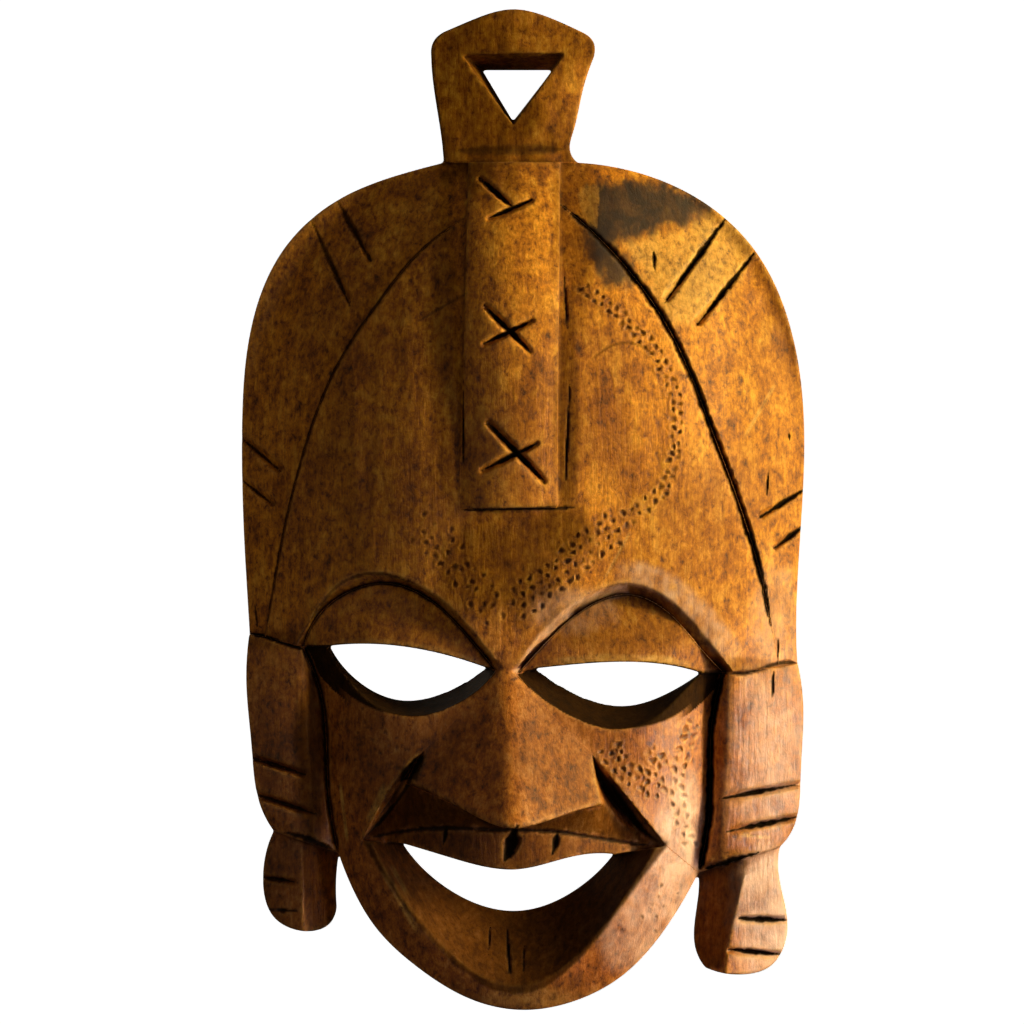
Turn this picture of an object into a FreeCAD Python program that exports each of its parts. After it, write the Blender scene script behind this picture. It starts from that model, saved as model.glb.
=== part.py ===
"""A carved wooden wall mask, modelled as the carved elements of one hollowed block.

Millimetres. +Z is up, +X is to the viewer's right and the carved front looks along -Y. The flat back
of the rim lies in the wall plane y = 0. The origin is the point on that plane that a wall hook bears
on: the middle of the top edge of the crest's hanging hole. A depth is a distance out from the wall.
"""

import FreeCAD, Part

import math
import os

# ---- driving dimensions -----------------------------------------------------------------------------
CREST_DEPTH_TOP = 20.5      # how thick the crest is at its top, and where it meets the head
CREST_DEPTH_BASE = 26.0
HEAD_EDGE_DEPTH = 20.0      # front edge of the headdress above the wall plane
HEAD_CROWN_DEPTH = 54.0     # middle of the forehead
HEAD_CENTRE = (3.5, -150.0)
HEAD_HALF_WIDTH = 107.0
HEAD_RISE = 125.0
HEAD_POWER = 2.4
FACE_EDGE_DEPTH = 22.0
FACE_CROWN_DEPTH = 50.0
FACE_CENTRE = (1.0, -262.0)
FACE_HALF_WIDTH = 78.5
FACE_DROP = 125.0
FACE_POWER = 4.3
EYE_LEVEL = -226.0          # where the forehead's form hands over to the face's
PANEL_RAISE = 1.0           # the forehead panel stands this much above the headdress bands' form
BAND_SINK = 1.5
RIDGE_RAISE = 7.6
RIDGE_CROWN = 3.4
LID_SINK = 5.5              # the lids' upper edge lies this far behind the forehead
LID_BULGE = 6.5
NOSE_ROOT = (-2.5, -231.0, 51.5)
NOSE_TIP = (-0.5, -288.0, 72.8)
NOSE_SLOPE = 0.47           # depth lost per millimetre sideways from the nose ridge
NOSE_ROUND = 4.0            # radius to which the nose ridge is rounded
FLANK_FADE = (34.0, 60.0)   # how far from the ridge the nose's flanks start and finish dying away
LIP_DEPTH = 55.0
LIP_CORNER_DEPTH = 35.0
LIP_TOP = -289.5            # the line where the lip meets the slope under the nose
UNDER_NOSE_SLOPE = 0.6      # depth gained per millimetre up that slope
EAR_DEPTH = 36.0
EAR_LEAN = 0.26             # depth the ears and drops lose per millimetre outwards from their crease
EAR_BEVEL = 7.0             # how far the ears' inner edges are bevelled back
DROP_DEPTH = 31.0
DROP_BEVEL = 14.0
WALL = 14.0                 # wood left in front of the hollow
HOLLOW_CENTRE = (3.0, -195.0)
HOLLOW_HALF_HEIGHT = 146.0
HOLLOW_HALF_WIDTH_FACE = 63.0
HOLLOW_HALF_WIDTH_HEAD = 91.0
HOLLOW_BOWL = 70.0          # how deep the bowl would be with no front to stay behind
HOLLOW_BEHIND_NOSE = 14.0   # the extra gouging behind the nose
EYE_BACK_DEPTH = 35.0       # where the eye and mouth cuts break through into the hollow
EYE_FRONT_DEPTH = 49.0
MOUTH_BACK_DEPTH = 26.0
MOUTH_FRONT_DEPTH = 46.0
FRONT = 90.0                # in front of everything
BEHIND = -8.0               # behind the wall plane

# ---- outlines, clockwise from the crest: (x, z) points, each list one smooth curve --------------------
CREST_LEFT = [(-26.5, -36.0), (-28.0, -22.0), (-30.2, -8.0), (-31.3, 5.0)]
CREST_LEFT_SHOULDER = [(-31.3, 5.0), (-30.6, 10.0), (-26.5, 14.0)]
CREST_TOP = [(-26.5, 14.0), (-15.0, 18.9), (0.0, 22.7), (15.0, 19.1), (26.5, 13.9)]
CREST_RIGHT_SHOULDER = [(26.5, 13.9), (30.9, 9.8), (31.0, 5.0)]
CREST_RIGHT = [(31.0, 5.0), (26.7, -8.0), (23.3, -23.0), (21.7, -31.0), (24.5, -36.0)]
HEAD_RIGHT = [(24.5, -36.0), (44.5, -38.9), (70.0, -49.2), (92.1, -68.9), (106.2, -99.4),
              (111.2, -134.0), (110.2, -172.0), (108.6, -227.0)]
EAR_RIGHT = [(108.6, -227.0), (110.6, -240.0), (109.8, -270.0), (107.2, -289.5), (102.0, -297.0)]
DROP_RIGHT = [(102.0, -297.0), (102.0, -311.0), (104.7, -330.0), (98.5, -342.5), (86.0, -345.8),
              (73.5, -343.4)]
DROP_RIGHT_INNER = [(73.5, -343.4), (70.3, -338.0), (70.2, -322.0), (70.8, -307.0)]
JAW = [(70.8, -307.0), (58.3, -327.8), (40.5, -346.8), (22.0, -356.0), (4.0, -358.9), (-14.0, -355.6),
       (-35.8, -343.1), (-52.2, -327.8), (-61.3, -312.6), (-66.6, -299.3)]
DROP_LEFT_INNER = [(-66.6, -299.3), (-67.8, -310.0), (-67.6, -320.5)]
DROP_LEFT = [(-67.6, -320.5), (-71.5, -327.8), (-82.0, -328.9), (-91.0, -324.2), (-95.3, -312.6),
             (-91.2, -291.0)]
EAR_LEFT = [(-91.2, -291.0), (-96.8, -280.0), (-99.8, -258.0), (-101.7, -236.0), (-100.6, -216.0)]
HEAD_LEFT = [(-100.6, -216.0), (-102.6, -183.0), (-103.6, -137.5), (-100.2, -99.4), (-87.6, -68.9),
             (-66.0, -49.6), (-45.0, -41.0), (-26.5, -36.0)]

# ---- carved lines that part one element from the next ------------------------------------------------
RIDGE_TOP_LEFT = (-17.0, -36.0)
RIDGE_TOP_RIGHT = (18.0, -36.0)
RIDGE_FOOT_LEFT = (-20.3, -168.3)
RIDGE_FOOT_RIGHT = (16.6, -167.7)
ARCH_LEFT = [(-17.5, -57.0), (-33.0, -68.0), (-50.0, -88.0), (-66.0, -112.0), (-78.0, -141.0),
             (-88.0, -180.0), (-94.5, -217.0)]
ARCH_RIGHT = [(17.8, -52.0), (30.0, -62.5), (46.0, -80.0), (62.0, -105.0), (74.0, -134.0),
              (90.0, -178.0), (101.5, -228.5)]
LID_ARC_LEFT = [(-80.0, -220.8), (-76.0, -211.5), (-62.0, -199.5), (-48.0, -196.5), (-32.0, -202.5),
                (-16.0, -218.0), (-6.5, -229.5)]
LID_ARC_RIGHT = [(1.5, -231.0), (11.0, -220.5), (27.0, -206.3), (44.0, -200.8), (60.0, -208.5),
                 (72.0, -222.0), (80.0, -230.5)]
EYE_LEFT_TOP = [(-70.3, -220.4), (-52.0, -219.6), (-30.0, -222.6), (-10.6, -228.4)]
EYE_LEFT_FRONT = [(-80.0, -220.8), (-67.0, -236.5), (-45.0, -247.0), (-24.0, -243.3), (-6.5, -229.5)]
EYE_LEFT_BACK = [(-70.3, -220.4), (-60.0, -233.3), (-42.0, -241.2), (-23.0, -236.6), (-10.6, -228.4)]
EYE_RIGHT_TOP = [(9.4, -228.7), (34.0, -226.5), (58.0, -227.4), (72.0, -230.8)]
EYE_RIGHT_FRONT = [(1.5, -231.0), (20.0, -245.5), (43.0, -252.3), (66.0, -245.0), (80.0, -230.5)]
EYE_RIGHT_BACK = [(9.4, -228.7), (22.0, -237.5), (42.0, -243.3), (60.0, -238.0), (72.0, -230.8)]
NOSE_LEFT = [(-6.5, -229.5), (-14.0, -239.5), (-35.0, -261.0)]
NOSE_LEFT_WING = [(-35.0, -261.0), (-41.0, -272.5)]
NOSE_RIGHT = [(1.5, -231.0), (8.0, -239.0), (29.5, -260.5)]
NOSE_RIGHT_WING = [(29.5, -260.5), (34.0, -280.5)]
NOSE_BASE = [(-41.0, -272.5), (-18.0, -282.5), (-0.5, -289.0), (14.0, -286.0), (34.0, -280.5)]
FOLD_LEFT = [(-35.0, -261.0), (-57.5, -294.5)]
FOLD_RIGHT = [(29.5, -260.5), (58.5, -296.5)]
MOUTH_TOP = [(-42.8, -295.3), (-22.0, -301.2), (2.0, -305.0), (22.0, -300.4), (38.6, -299.6)]
MOUTH_FRONT = [(-57.5, -294.5), (-38.0, -324.0), (2.0, -353.0), (43.0, -317.0), (58.5, -296.5)]
MOUTH_BACK = [(-42.8, -295.3), (-26.0, -312.5), (2.0, -321.6), (26.0, -312.0), (38.6, -299.6)]
EAR_GROOVE_LEFT = [(-80.0, -220.8), (-73.5, -238.0), (-70.5, -275.0), (-66.6, -299.3)]
EAR_GROOVE_RIGHT = [(80.0, -230.5), (76.2, -248.0), (74.2, -290.0), (70.8, -307.0)]
HOLE_FRONT = [(-19.8, 5.3), (19.8, 6.1), (0.0, -21.5)]
HOLE_BACK = [(-11.6, 0.0), (15.2, 0.0), (0.0, -19.5)]

# ---- knife cuts: (from, to, width) --------------------------------------------------------------------
RIDGE_CROSSES = [((-13.0, -42.0), (0.5, -54.0), 2.4), ((-10.0, -58.0), (7.5, -50.5), 2.2),
                 ((-11.0, -91.0), (7.0, -109.0), 2.6), ((-12.0, -106.0), (8.0, -96.5), 2.2),
                 ((-10.0, -135.0), (12.5, -158.5), 2.8), ((-12.5, -154.0), (10.0, -143.0), 2.4)]
BAND_CUTS_LEFT = [((-68.0, -48.0), (-54.0, -74.0), 3.2), ((-77.5, -55.5), (-62.5, -89.0), 3.2),
                  ((-105.0, -140.0), (-88.5, -154.0), 4.0), ((-105.0, -156.0), (-91.0, -167.0), 3.2)]
BAND_CUTS_RIGHT = [((84.0, -54.0), (58.0, -89.0), 3.6), ((96.0, -66.0), (70.0, -98.0), 4.0),
                   ((113.0, -160.0), (94.2, -171.3), 3.2), ((113.0, -173.0), (99.3, -183.6), 3.2)]
EAR_CUTS_LEFT = [((-101.0, -262.5), (-79.0, -269.5), 3.2), ((-100.0, -276.5), (-75.0, -284.5), 3.2)]
EAR_CUTS_RIGHT = [((79.0, -278.5), (111.0, -273.0), 2.8), ((82.0, -291.0), (110.0, -285.5), 2.8)]
DROP_CUTS_LEFT = [((-97.0, -308.5), (-83.0, -310.5), 2.6)]
DROP_CUTS_RIGHT = [((86.0, -324.5), (106.0, -325.0), 2.8), ((81.5, -336.5), (104.0, -338.5), 2.8)]


def at(x, z, depth):
    """The point this far out from the wall."""
    return FreeCAD.Vector(x, -depth, z)


def edge(points, depth=BEHIND):
    """One edge through the points: straight for two points, a smooth curve for more."""
    vectors = [at(x, z, depth) for x, z in points]
    if len(vectors) == 2:
        return Part.LineSegment(vectors[0], vectors[1]).toShape()
    curve = Part.BSplineCurve()
    curve.interpolate(vectors)
    return curve.toShape()


def wire(runs, depth=BEHIND):
    """A closed wire of point runs laid end to end; gaps between the runs are closed with lines."""
    edges = []
    for index, run in enumerate(runs):
        edges.append(edge(run, depth))
        following = runs[(index + 1) % len(runs)][0]
        if run[-1] != following:
            edges.append(edge([run[-1], following], depth))
    return Part.Wire(edges)


def prism(runs, back=BEHIND, front=FRONT):
    """The region inside the runs, from one depth to another."""
    return Part.Face(wire(runs, back)).extrude(FreeCAD.Vector(0.0, back - front, 0.0))


def turned(points):
    return points[::-1]


def smooth(value, low, high):
    """0 below low, 1 above high, an even blend between."""
    share = min(max((value - low) / (high - low), 0.0), 1.0)
    return share * share * (3.0 - 2.0 * share)


# ---- depths of the carved front ------------------------------------------------------------------------

def head_depth(x, z):
    """The domed head: steep at its edge, full at the forehead, even below its centre line."""
    across = abs(x - HEAD_CENTRE[0]) / HEAD_HALF_WIDTH
    rise = max(z - HEAD_CENTRE[1], 0.0) / HEAD_RISE
    radius = min(math.hypot(across, rise), 1.0)
    return HEAD_EDGE_DEPTH + (HEAD_CROWN_DEPTH - HEAD_EDGE_DEPTH) * (1.0 - radius ** HEAD_POWER)


def lower_face_depth(x, z):
    """The face below the eyes: full round the nose and mouth, falling to the ears and the jaw."""
    across = abs(x - FACE_CENTRE[0]) / FACE_HALF_WIDTH
    drop = max(FACE_CENTRE[1] - z, 0.0) / FACE_DROP
    radius = min(math.hypot(across, drop), 1.15)
    return FACE_EDGE_DEPTH + (FACE_CROWN_DEPTH - FACE_EDGE_DEPTH) * (1.0 - radius ** FACE_POWER)


def form_depth(x, z):
    below = smooth(-z, -EYE_LEVEL - 22.0, -EYE_LEVEL + 16.0)
    return (1.0 - below) * head_depth(x, z) + below * lower_face_depth(x, z)


def crest_depth(x, z):
    share = (z + 36.0) / 58.0
    return CREST_DEPTH_BASE + (CREST_DEPTH_TOP - CREST_DEPTH_BASE) * share - 0.002 * x * x


def band_depth(x, z):
    return head_depth(x, z) - BAND_SINK


def panel_depth(x, z):
    """The forehead: eases into the face between the eyes and follows the head at its sides."""
    side = smooth(abs(x - FACE_CENTRE[0]), 50.0, 80.0)
    return (1.0 - side) * form_depth(x, z) + side * head_depth(x, z) + PANEL_RAISE


def nose_and_cheek_depth(x, z):
    """The face with the nose on it: two flanks from a rounded ridge, dying away over the cheeks."""
    down = (z - NOSE_ROOT[1]) / (NOSE_TIP[1] - NOSE_ROOT[1])
    ridge_x = NOSE_ROOT[0] + (NOSE_TIP[0] - NOSE_ROOT[0]) * down
    ridge = NOSE_ROOT[2] + (NOSE_TIP[2] - NOSE_ROOT[2]) * down
    flank = ridge - NOSE_SLOPE * (math.hypot(x - ridge_x, NOSE_ROUND) - NOSE_ROUND)
    rest = form_depth(x, z)
    gap = flank - rest
    proud = 0.5 * (gap + math.sqrt(gap * gap + 6.0))
    return rest + proud * (1.0 - smooth(abs(x - ridge_x), *FLANK_FADE))


def ridge_depth(x, z):
    middle = (x - 0.5) / 18.0
    foot = smooth(-z, 60.0, 168.0)
    raise_here = RIDGE_RAISE - 3.0 * foot
    return head_depth(0.5, z) + raise_here + RIDGE_CROWN * (1.0 - middle * middle) - RIDGE_CROWN


def lid_depth(x, z, middle):
    """A lid: set back under the brow, swelling toward its lower edge."""
    swell = smooth(-z, 198.0, 226.0) * (1.0 - ((x - middle) / 46.0) ** 2)
    return form_depth(middle * 0.25 + x * 0.75, z) - LID_SINK + LID_BULGE * swell


def left_lid_depth(x, z):
    return lid_depth(x, z, -43.0)


def right_lid_depth(x, z):
    return lid_depth(x, z, 41.0)


def lip_depth(x, z):
    """The lip, and the slope that comes forward again from its top but stays behind the nose."""
    lip = max(LIP_DEPTH - 0.0082 * x * x + 0.06 * (z + 290.0), LIP_CORNER_DEPTH)
    above = max(z - LIP_TOP + 0.0022 * x * x, 0.0)
    lip += UNDER_NOSE_SLOPE * above * (1.0 - smooth(abs(x), 26.0, 42.0))
    limit = nose_and_cheek_depth(x, z) - 1.0
    return 0.5 * (lip + limit - math.sqrt((lip - limit) ** 2 + 4.0))


def leaning_depth(x, crest, crease):
    """Leans back outwards from a crease, a little faster towards the outer edge."""
    out = abs(x) - crease
    return crest - EAR_LEAN * out - 0.003 * max(out, 0.0) ** 2


def ear_depth(x, z):
    return leaning_depth(x, EAR_DEPTH, 80.0) - 0.02 * max(-255.0 - z, 0.0)


def drop_depth(x, z):
    return leaning_depth(x, DROP_DEPTH, 82.0)


def hollow_depth(x, z):
    """The gouged back: rises steeply inside the rim, then follows the front one wall behind it."""
    low = smooth(-z, 150.0, 290.0)
    half_width = HOLLOW_HALF_WIDTH_HEAD + (HOLLOW_HALF_WIDTH_FACE - HOLLOW_HALF_WIDTH_HEAD) * low
    across = (x - HOLLOW_CENTRE[0]) / half_width
    up = (z - HOLLOW_CENTRE[1]) / HOLLOW_HALF_HEIGHT
    radius = (abs(across) ** 2.4 + abs(up) ** 2.4) ** (1.0 / 2.4)
    bowl = HOLLOW_BOWL * (1.0 - radius ** 3.0)
    nose_share = max(1.0 - (x / 24.0) ** 2, 0.0) ** 2 * smooth(-z, 238.0, 268.0) * smooth(z, -302.0, -280.0)
    behind_front = form_depth(x, z) - WALL + HOLLOW_BEHIND_NOSE * nose_share
    gap = bowl - behind_front
    blended = 0.5 * (bowl + behind_front - math.sqrt(gap * gap + 120.0))
    return max(blended, -60.0)


# ---- solids --------------------------------------------------------------------------------------------

def relief(depth, west, east, south, north, step=6.0, back=-20.0):
    """Everything behind a carved surface over this rectangle, back to beyond the wall."""
    columns = max(int(math.ceil((east - west) / step)), 4)
    rows = max(int(math.ceil((north - south) / step)), 4)
    grid = []
    for i in range(columns + 1):
        x = west + (east - west) * i / columns
        heights = [south + (north - south) * j / rows for j in range(rows + 1)]
        grid.append([at(x, z, depth(x, z)) for z in heights])
    surface = Part.BSplineSurface()
    surface.interpolate(grid)
    return surface.toShape().extrude(FreeCAD.Vector(0.0, FRONT - back, 0.0))


def carved(runs, depth, step=6.0):
    """A region prism from the wall plane out to its carved front."""
    region = prism(runs, 0.0, FRONT)
    box = region.BoundBox
    form = relief(depth, box.XMin - 3.0, box.XMax + 3.0, box.ZMin - 3.0, box.ZMax + 3.0, step)
    return region.common(form)


def hollow():
    """The open back of the mask."""
    return relief(hollow_depth, -112.0, 118.0, -362.0, -30.0, 6.5)


def pocket(front_run, back_run, roof, front_depth, back_depth):
    """An opening whose lower side is bevelled from the front run to the back run, cut through."""
    def outline(run, depth):
        up = [run[-1], (run[-1][0], roof)]
        over = [(run[-1][0], roof), (run[0][0], roof)]
        return wire([run, up, over, [(run[0][0], roof), run[0]]], depth)
    bevel = Part.makeLoft([outline(front_run, front_depth), outline(back_run, back_depth)], True, True)
    front_face = Part.Face(outline(front_run, front_depth))
    back_face = Part.Face(outline(back_run, back_depth))
    ahead = front_face.extrude(FreeCAD.Vector(0.0, front_depth - FRONT, 0.0))
    through = back_face.extrude(FreeCAD.Vector(0.0, back_depth - BEHIND, 0.0))
    return [bevel, ahead, through]


def knife_cut(start, end, width, depth):
    """A V-section groove along a straight line, following the carved depth at its two ends."""
    run = FreeCAD.Vector(end[0] - start[0], 0.0, end[1] - start[1])
    side = FreeCAD.Vector(-run.z, 0.0, run.x).normalize() * width
    sections = []
    for point in (start, end):
        level = depth(point[0], point[1])
        bottom = at(point[0], point[1], level - 0.85 * width)
        rim = at(point[0], point[1], level + 0.85 * width)
        sections.append(Part.makePolygon([bottom, rim + side, rim - side, bottom]))
    return Part.makeLoft(sections, True, True)


def without(solid, cutters):
    for cutter in cutters:
        solid = solid.cut(cutter)
    return solid


def with_cuts(solid, cuts, depth):
    return without(solid, [knife_cut(start, end, width, depth) for start, end, width in cuts])


def tidied(shape):
    """The element as one clean solid; slivers left by a cut are dropped."""
    solids = sorted(shape.Solids, key=lambda part: part.Volume)
    return solids[-1].removeSplitter()


# ---- the carved elements ---------------------------------------------------------------------------------

def crest():
    runs = [CREST_LEFT, CREST_LEFT_SHOULDER, CREST_TOP, CREST_RIGHT_SHOULDER, CREST_RIGHT]
    block = carved(runs, crest_depth)
    corners = [HOLE_BACK + HOLE_BACK[:1], HOLE_FRONT + HOLE_FRONT[:1]]
    ends = [Part.makePolygon([at(x, z, depth) for x, z in loop]) for loop, depth in
            zip(corners, (0.0, CREST_DEPTH_TOP + 1.0))]
    flare = Part.makeLoft(ends, True, True)
    ahead = Part.Face(ends[1]).extrude(FreeCAD.Vector(0.0, -30.0, 0.0))
    return without(block, [flare, ahead])


def forehead_strip():
    runs = [[RIDGE_TOP_LEFT, RIDGE_TOP_RIGHT], [RIDGE_TOP_RIGHT, ARCH_RIGHT[0]],
            [ARCH_RIGHT[0], RIDGE_FOOT_RIGHT], [RIDGE_FOOT_RIGHT, RIDGE_FOOT_LEFT],
            [RIDGE_FOOT_LEFT, ARCH_LEFT[0]], [ARCH_LEFT[0], RIDGE_TOP_LEFT]]
    return with_cuts(carved(runs, ridge_depth), RIDGE_CROSSES, ridge_depth)


def left_headdress_band():
    runs = [[HEAD_LEFT[-1], RIDGE_TOP_LEFT], [RIDGE_TOP_LEFT, ARCH_LEFT[0]], ARCH_LEFT, HEAD_LEFT]
    return with_cuts(carved(runs, band_depth), BAND_CUTS_LEFT, band_depth)


def right_headdress_band():
    runs = [[HEAD_RIGHT[0], RIDGE_TOP_RIGHT], [RIDGE_TOP_RIGHT, ARCH_RIGHT[0]], ARCH_RIGHT,
            turned(HEAD_RIGHT)]
    return with_cuts(carved(runs, band_depth), BAND_CUTS_RIGHT, band_depth)


def forehead_panel():
    runs = [turned(ARCH_LEFT), [ARCH_LEFT[0], RIDGE_FOOT_LEFT], [RIDGE_FOOT_LEFT, RIDGE_FOOT_RIGHT],
            [RIDGE_FOOT_RIGHT, ARCH_RIGHT[0]], ARCH_RIGHT, turned(LID_ARC_RIGHT), turned(LID_ARC_LEFT)]
    return carved(runs, panel_depth)


def left_eyelid():
    return carved([LID_ARC_LEFT, turned(EYE_LEFT_TOP)], left_lid_depth)


def right_eyelid():
    return carved([LID_ARC_RIGHT, turned(EYE_RIGHT_TOP)], right_lid_depth)


def nose():
    runs = [NOSE_RIGHT, NOSE_RIGHT_WING, turned(NOSE_BASE), turned(NOSE_LEFT_WING), turned(NOSE_LEFT)]
    return carved(runs, nose_and_cheek_depth, 4.0)


def left_cheek():
    runs = [EYE_LEFT_TOP, NOSE_LEFT, FOLD_LEFT, turned(EAR_GROOVE_LEFT)]
    eye = pocket(EYE_LEFT_FRONT, EYE_LEFT_BACK, -195.0, EYE_FRONT_DEPTH, EYE_BACK_DEPTH)
    return without(carved(runs, nose_and_cheek_depth, 4.0), eye)


def right_cheek():
    runs = [turned(EYE_RIGHT_TOP), NOSE_RIGHT, FOLD_RIGHT, turned(EAR_GROOVE_RIGHT)]
    eye = pocket(EYE_RIGHT_FRONT, EYE_RIGHT_BACK, -195.0, EYE_FRONT_DEPTH, EYE_BACK_DEPTH)
    return without(carved(runs, nose_and_cheek_depth, 4.0), eye)


def upper_lip():
    runs = [NOSE_LEFT_WING, NOSE_BASE, turned(NOSE_RIGHT_WING), FOLD_RIGHT, turned(MOUTH_TOP),
            turned(FOLD_LEFT)]
    return carved(runs, lip_depth, 4.0)


def chin():
    runs = [MOUTH_TOP, [FOLD_RIGHT[-1], JAW[0]], JAW, [JAW[-1], FOLD_LEFT[-1]]]
    mouth = pocket(MOUTH_FRONT, MOUTH_BACK, -285.0, MOUTH_FRONT_DEPTH, MOUTH_BACK_DEPTH)
    return without(carved(runs, form_depth), mouth)


def inner_facet(foot, head, level, bevel):
    """What is cut away to leave a slanted inner side. Foot and head are (toe x, crease x, z): the
    cut is full depth at the toe and runs out at the crease."""
    sections = []
    for toe, crease, z in (foot, head):
        beyond = toe + math.copysign(12.0, toe - crease)
        sections.append(Part.makePolygon([at(crease, z, level), at(toe, z, level - bevel),
                                          at(beyond, z, level - bevel), at(beyond, z, 60.0),
                                          at(crease, z, 60.0), at(crease, z, level)]))
    return Part.makeLoft(sections, True, True)


def left_ear():
    runs = [[HEAD_LEFT[0], ARCH_LEFT[-1]], EAR_GROOVE_LEFT, EAR_LEFT]
    block = with_cuts(carved(runs, ear_depth), EAR_CUTS_LEFT, ear_depth)
    return block.cut(inner_facet((-66.0, -75.0, -302.0), (-76.0, -81.5, -214.0), EAR_DEPTH, EAR_BEVEL))


def right_ear():
    runs = [[HEAD_RIGHT[-1], ARCH_RIGHT[-1]], EAR_GROOVE_RIGHT, turned(EAR_RIGHT)]
    block = with_cuts(carved(runs, ear_depth), EAR_CUTS_RIGHT, ear_depth)
    return block.cut(inner_facet((71.0, 80.0, -310.0), (77.0, 83.0, -226.0), EAR_DEPTH, EAR_BEVEL))


def left_ear_drop():
    runs = [DROP_LEFT_INNER, DROP_LEFT]
    block = with_cuts(carved(runs, drop_depth), DROP_CUTS_LEFT, drop_depth)
    return block.cut(inner_facet((-67.5, -79.5, -335.0), (-66.0, -80.5, -287.0), DROP_DEPTH, DROP_BEVEL))


def right_ear_drop():
    runs = [DROP_RIGHT, DROP_RIGHT_INNER]
    block = with_cuts(carved(runs, drop_depth), DROP_CUTS_RIGHT, drop_depth)
    return block.cut(inner_facet((70.0, 79.5, -350.0), (70.0, 89.5, -294.0), DROP_DEPTH, DROP_BEVEL))


def build():
    """Write every carved element as its own file."""
    os.makedirs("parts", exist_ok=True)
    opened = hollow()
    makers = [crest, forehead_strip, left_headdress_band, right_headdress_band, forehead_panel,
              left_eyelid, right_eyelid, nose, left_cheek, right_cheek, upper_lip, chin, left_ear,
              right_ear, left_ear_drop, right_ear_drop]
    solid_elements = (crest, left_ear_drop, right_ear_drop)
    for maker in makers:
        shape = maker()
        if maker not in solid_elements:
            shape = shape.cut(opened)
        shape = tidied(shape)
        box = shape.BoundBox
        print("%-22s ok=%s volume %8.0f  x %7.1f %7.1f  depth %5.1f %5.1f  z %7.1f %7.1f" % (
            maker.__name__, shape.isValid(), shape.Volume, box.XMin, box.XMax, -box.YMax, -box.YMin,
            box.ZMin, box.ZMax))
        shape.exportStep("parts/" + maker.__name__ + ".step")


build()
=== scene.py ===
"""The looks of a carved hardwood mask: one block, carved by knife and gouge, stained and waxed.

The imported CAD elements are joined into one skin, which is carved further here (knife cuts, punched dots,
drying cracks, gouge marks) and then parted again along the same carved lines into one piece per element.
Lengths in the carving part are millimetres, as in the CAD; x runs to the viewer's right, z up, and a depth
is a distance out from the wall plane, which is -y.
"""

import math

import bmesh
import bpy
import numpy as np
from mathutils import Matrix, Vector


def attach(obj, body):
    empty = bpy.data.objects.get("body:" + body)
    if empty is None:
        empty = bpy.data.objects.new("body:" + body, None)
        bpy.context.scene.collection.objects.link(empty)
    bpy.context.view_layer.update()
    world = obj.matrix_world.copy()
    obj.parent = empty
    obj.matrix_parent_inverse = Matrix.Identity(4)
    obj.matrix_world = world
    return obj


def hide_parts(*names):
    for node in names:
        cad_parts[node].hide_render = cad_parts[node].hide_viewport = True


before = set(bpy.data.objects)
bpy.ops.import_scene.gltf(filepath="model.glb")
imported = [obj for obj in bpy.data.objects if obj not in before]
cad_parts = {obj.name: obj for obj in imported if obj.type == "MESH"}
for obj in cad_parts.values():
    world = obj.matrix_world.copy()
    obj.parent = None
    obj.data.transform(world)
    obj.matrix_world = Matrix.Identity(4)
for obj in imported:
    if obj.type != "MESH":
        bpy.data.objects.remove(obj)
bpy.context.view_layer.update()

MM = 0.001
VOXEL = 0.62 * MM
SKIN_SMOOTHING = 2
DOT_SEED = 7
NOISE_CELLS = 64       # a noise repeats after this many cells

# ---- the element outlines, as in the CAD: (x, z) points, each list one smooth curve ----
RIDGE_TOP_LEFT = (-17.0, -36.0)
RIDGE_TOP_RIGHT = (18.0, -36.0)
RIDGE_FOOT_LEFT = (-20.3, -168.3)
RIDGE_FOOT_RIGHT = (16.6, -167.7)
ARCH_LEFT = [(-17.5, -57.0), (-33.0, -68.0), (-50.0, -88.0), (-66.0, -112.0), (-78.0, -141.0),
             (-88.0, -180.0), (-94.5, -217.0)]
ARCH_RIGHT = [(17.8, -52.0), (30.0, -62.5), (46.0, -80.0), (62.0, -105.0), (74.0, -134.0),
              (90.0, -178.0), (101.5, -228.5)]
LID_ARC_LEFT = [(-80.0, -220.8), (-76.0, -211.5), (-62.0, -199.5), (-48.0, -196.5), (-32.0, -202.5),
                (-16.0, -218.0), (-6.5, -229.5)]
LID_ARC_RIGHT = [(1.5, -231.0), (11.0, -220.5), (27.0, -206.3), (44.0, -200.8), (60.0, -208.5),
                 (72.0, -222.0), (80.0, -230.5)]
EYE_LEFT_TOP = [(-70.3, -220.4), (-52.0, -219.6), (-30.0, -222.6), (-10.6, -228.4)]
EYE_LEFT_FRONT = [(-80.0, -220.8), (-67.0, -236.5), (-45.0, -247.0), (-24.0, -243.3), (-6.5, -229.5)]
EYE_RIGHT_TOP = [(9.4, -228.7), (34.0, -226.5), (58.0, -227.4), (72.0, -230.8)]
EYE_RIGHT_FRONT = [(1.5, -231.0), (20.0, -245.5), (43.0, -252.3), (66.0, -245.0), (80.0, -230.5)]
NOSE_LEFT = [(-6.5, -229.5), (-14.0, -239.5), (-35.0, -261.0)]
NOSE_LEFT_WING = [(-35.0, -261.0), (-41.0, -272.5)]
NOSE_RIGHT = [(1.5, -231.0), (8.0, -239.0), (29.5, -260.5)]
NOSE_RIGHT_WING = [(29.5, -260.5), (34.0, -280.5)]
NOSE_BASE = [(-41.0, -272.5), (-18.0, -282.5), (-0.5, -289.0), (14.0, -286.0), (34.0, -280.5)]
FOLD_LEFT = [(-35.0, -261.0), (-57.5, -294.5)]
FOLD_RIGHT = [(29.5, -260.5), (58.5, -296.5)]
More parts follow.
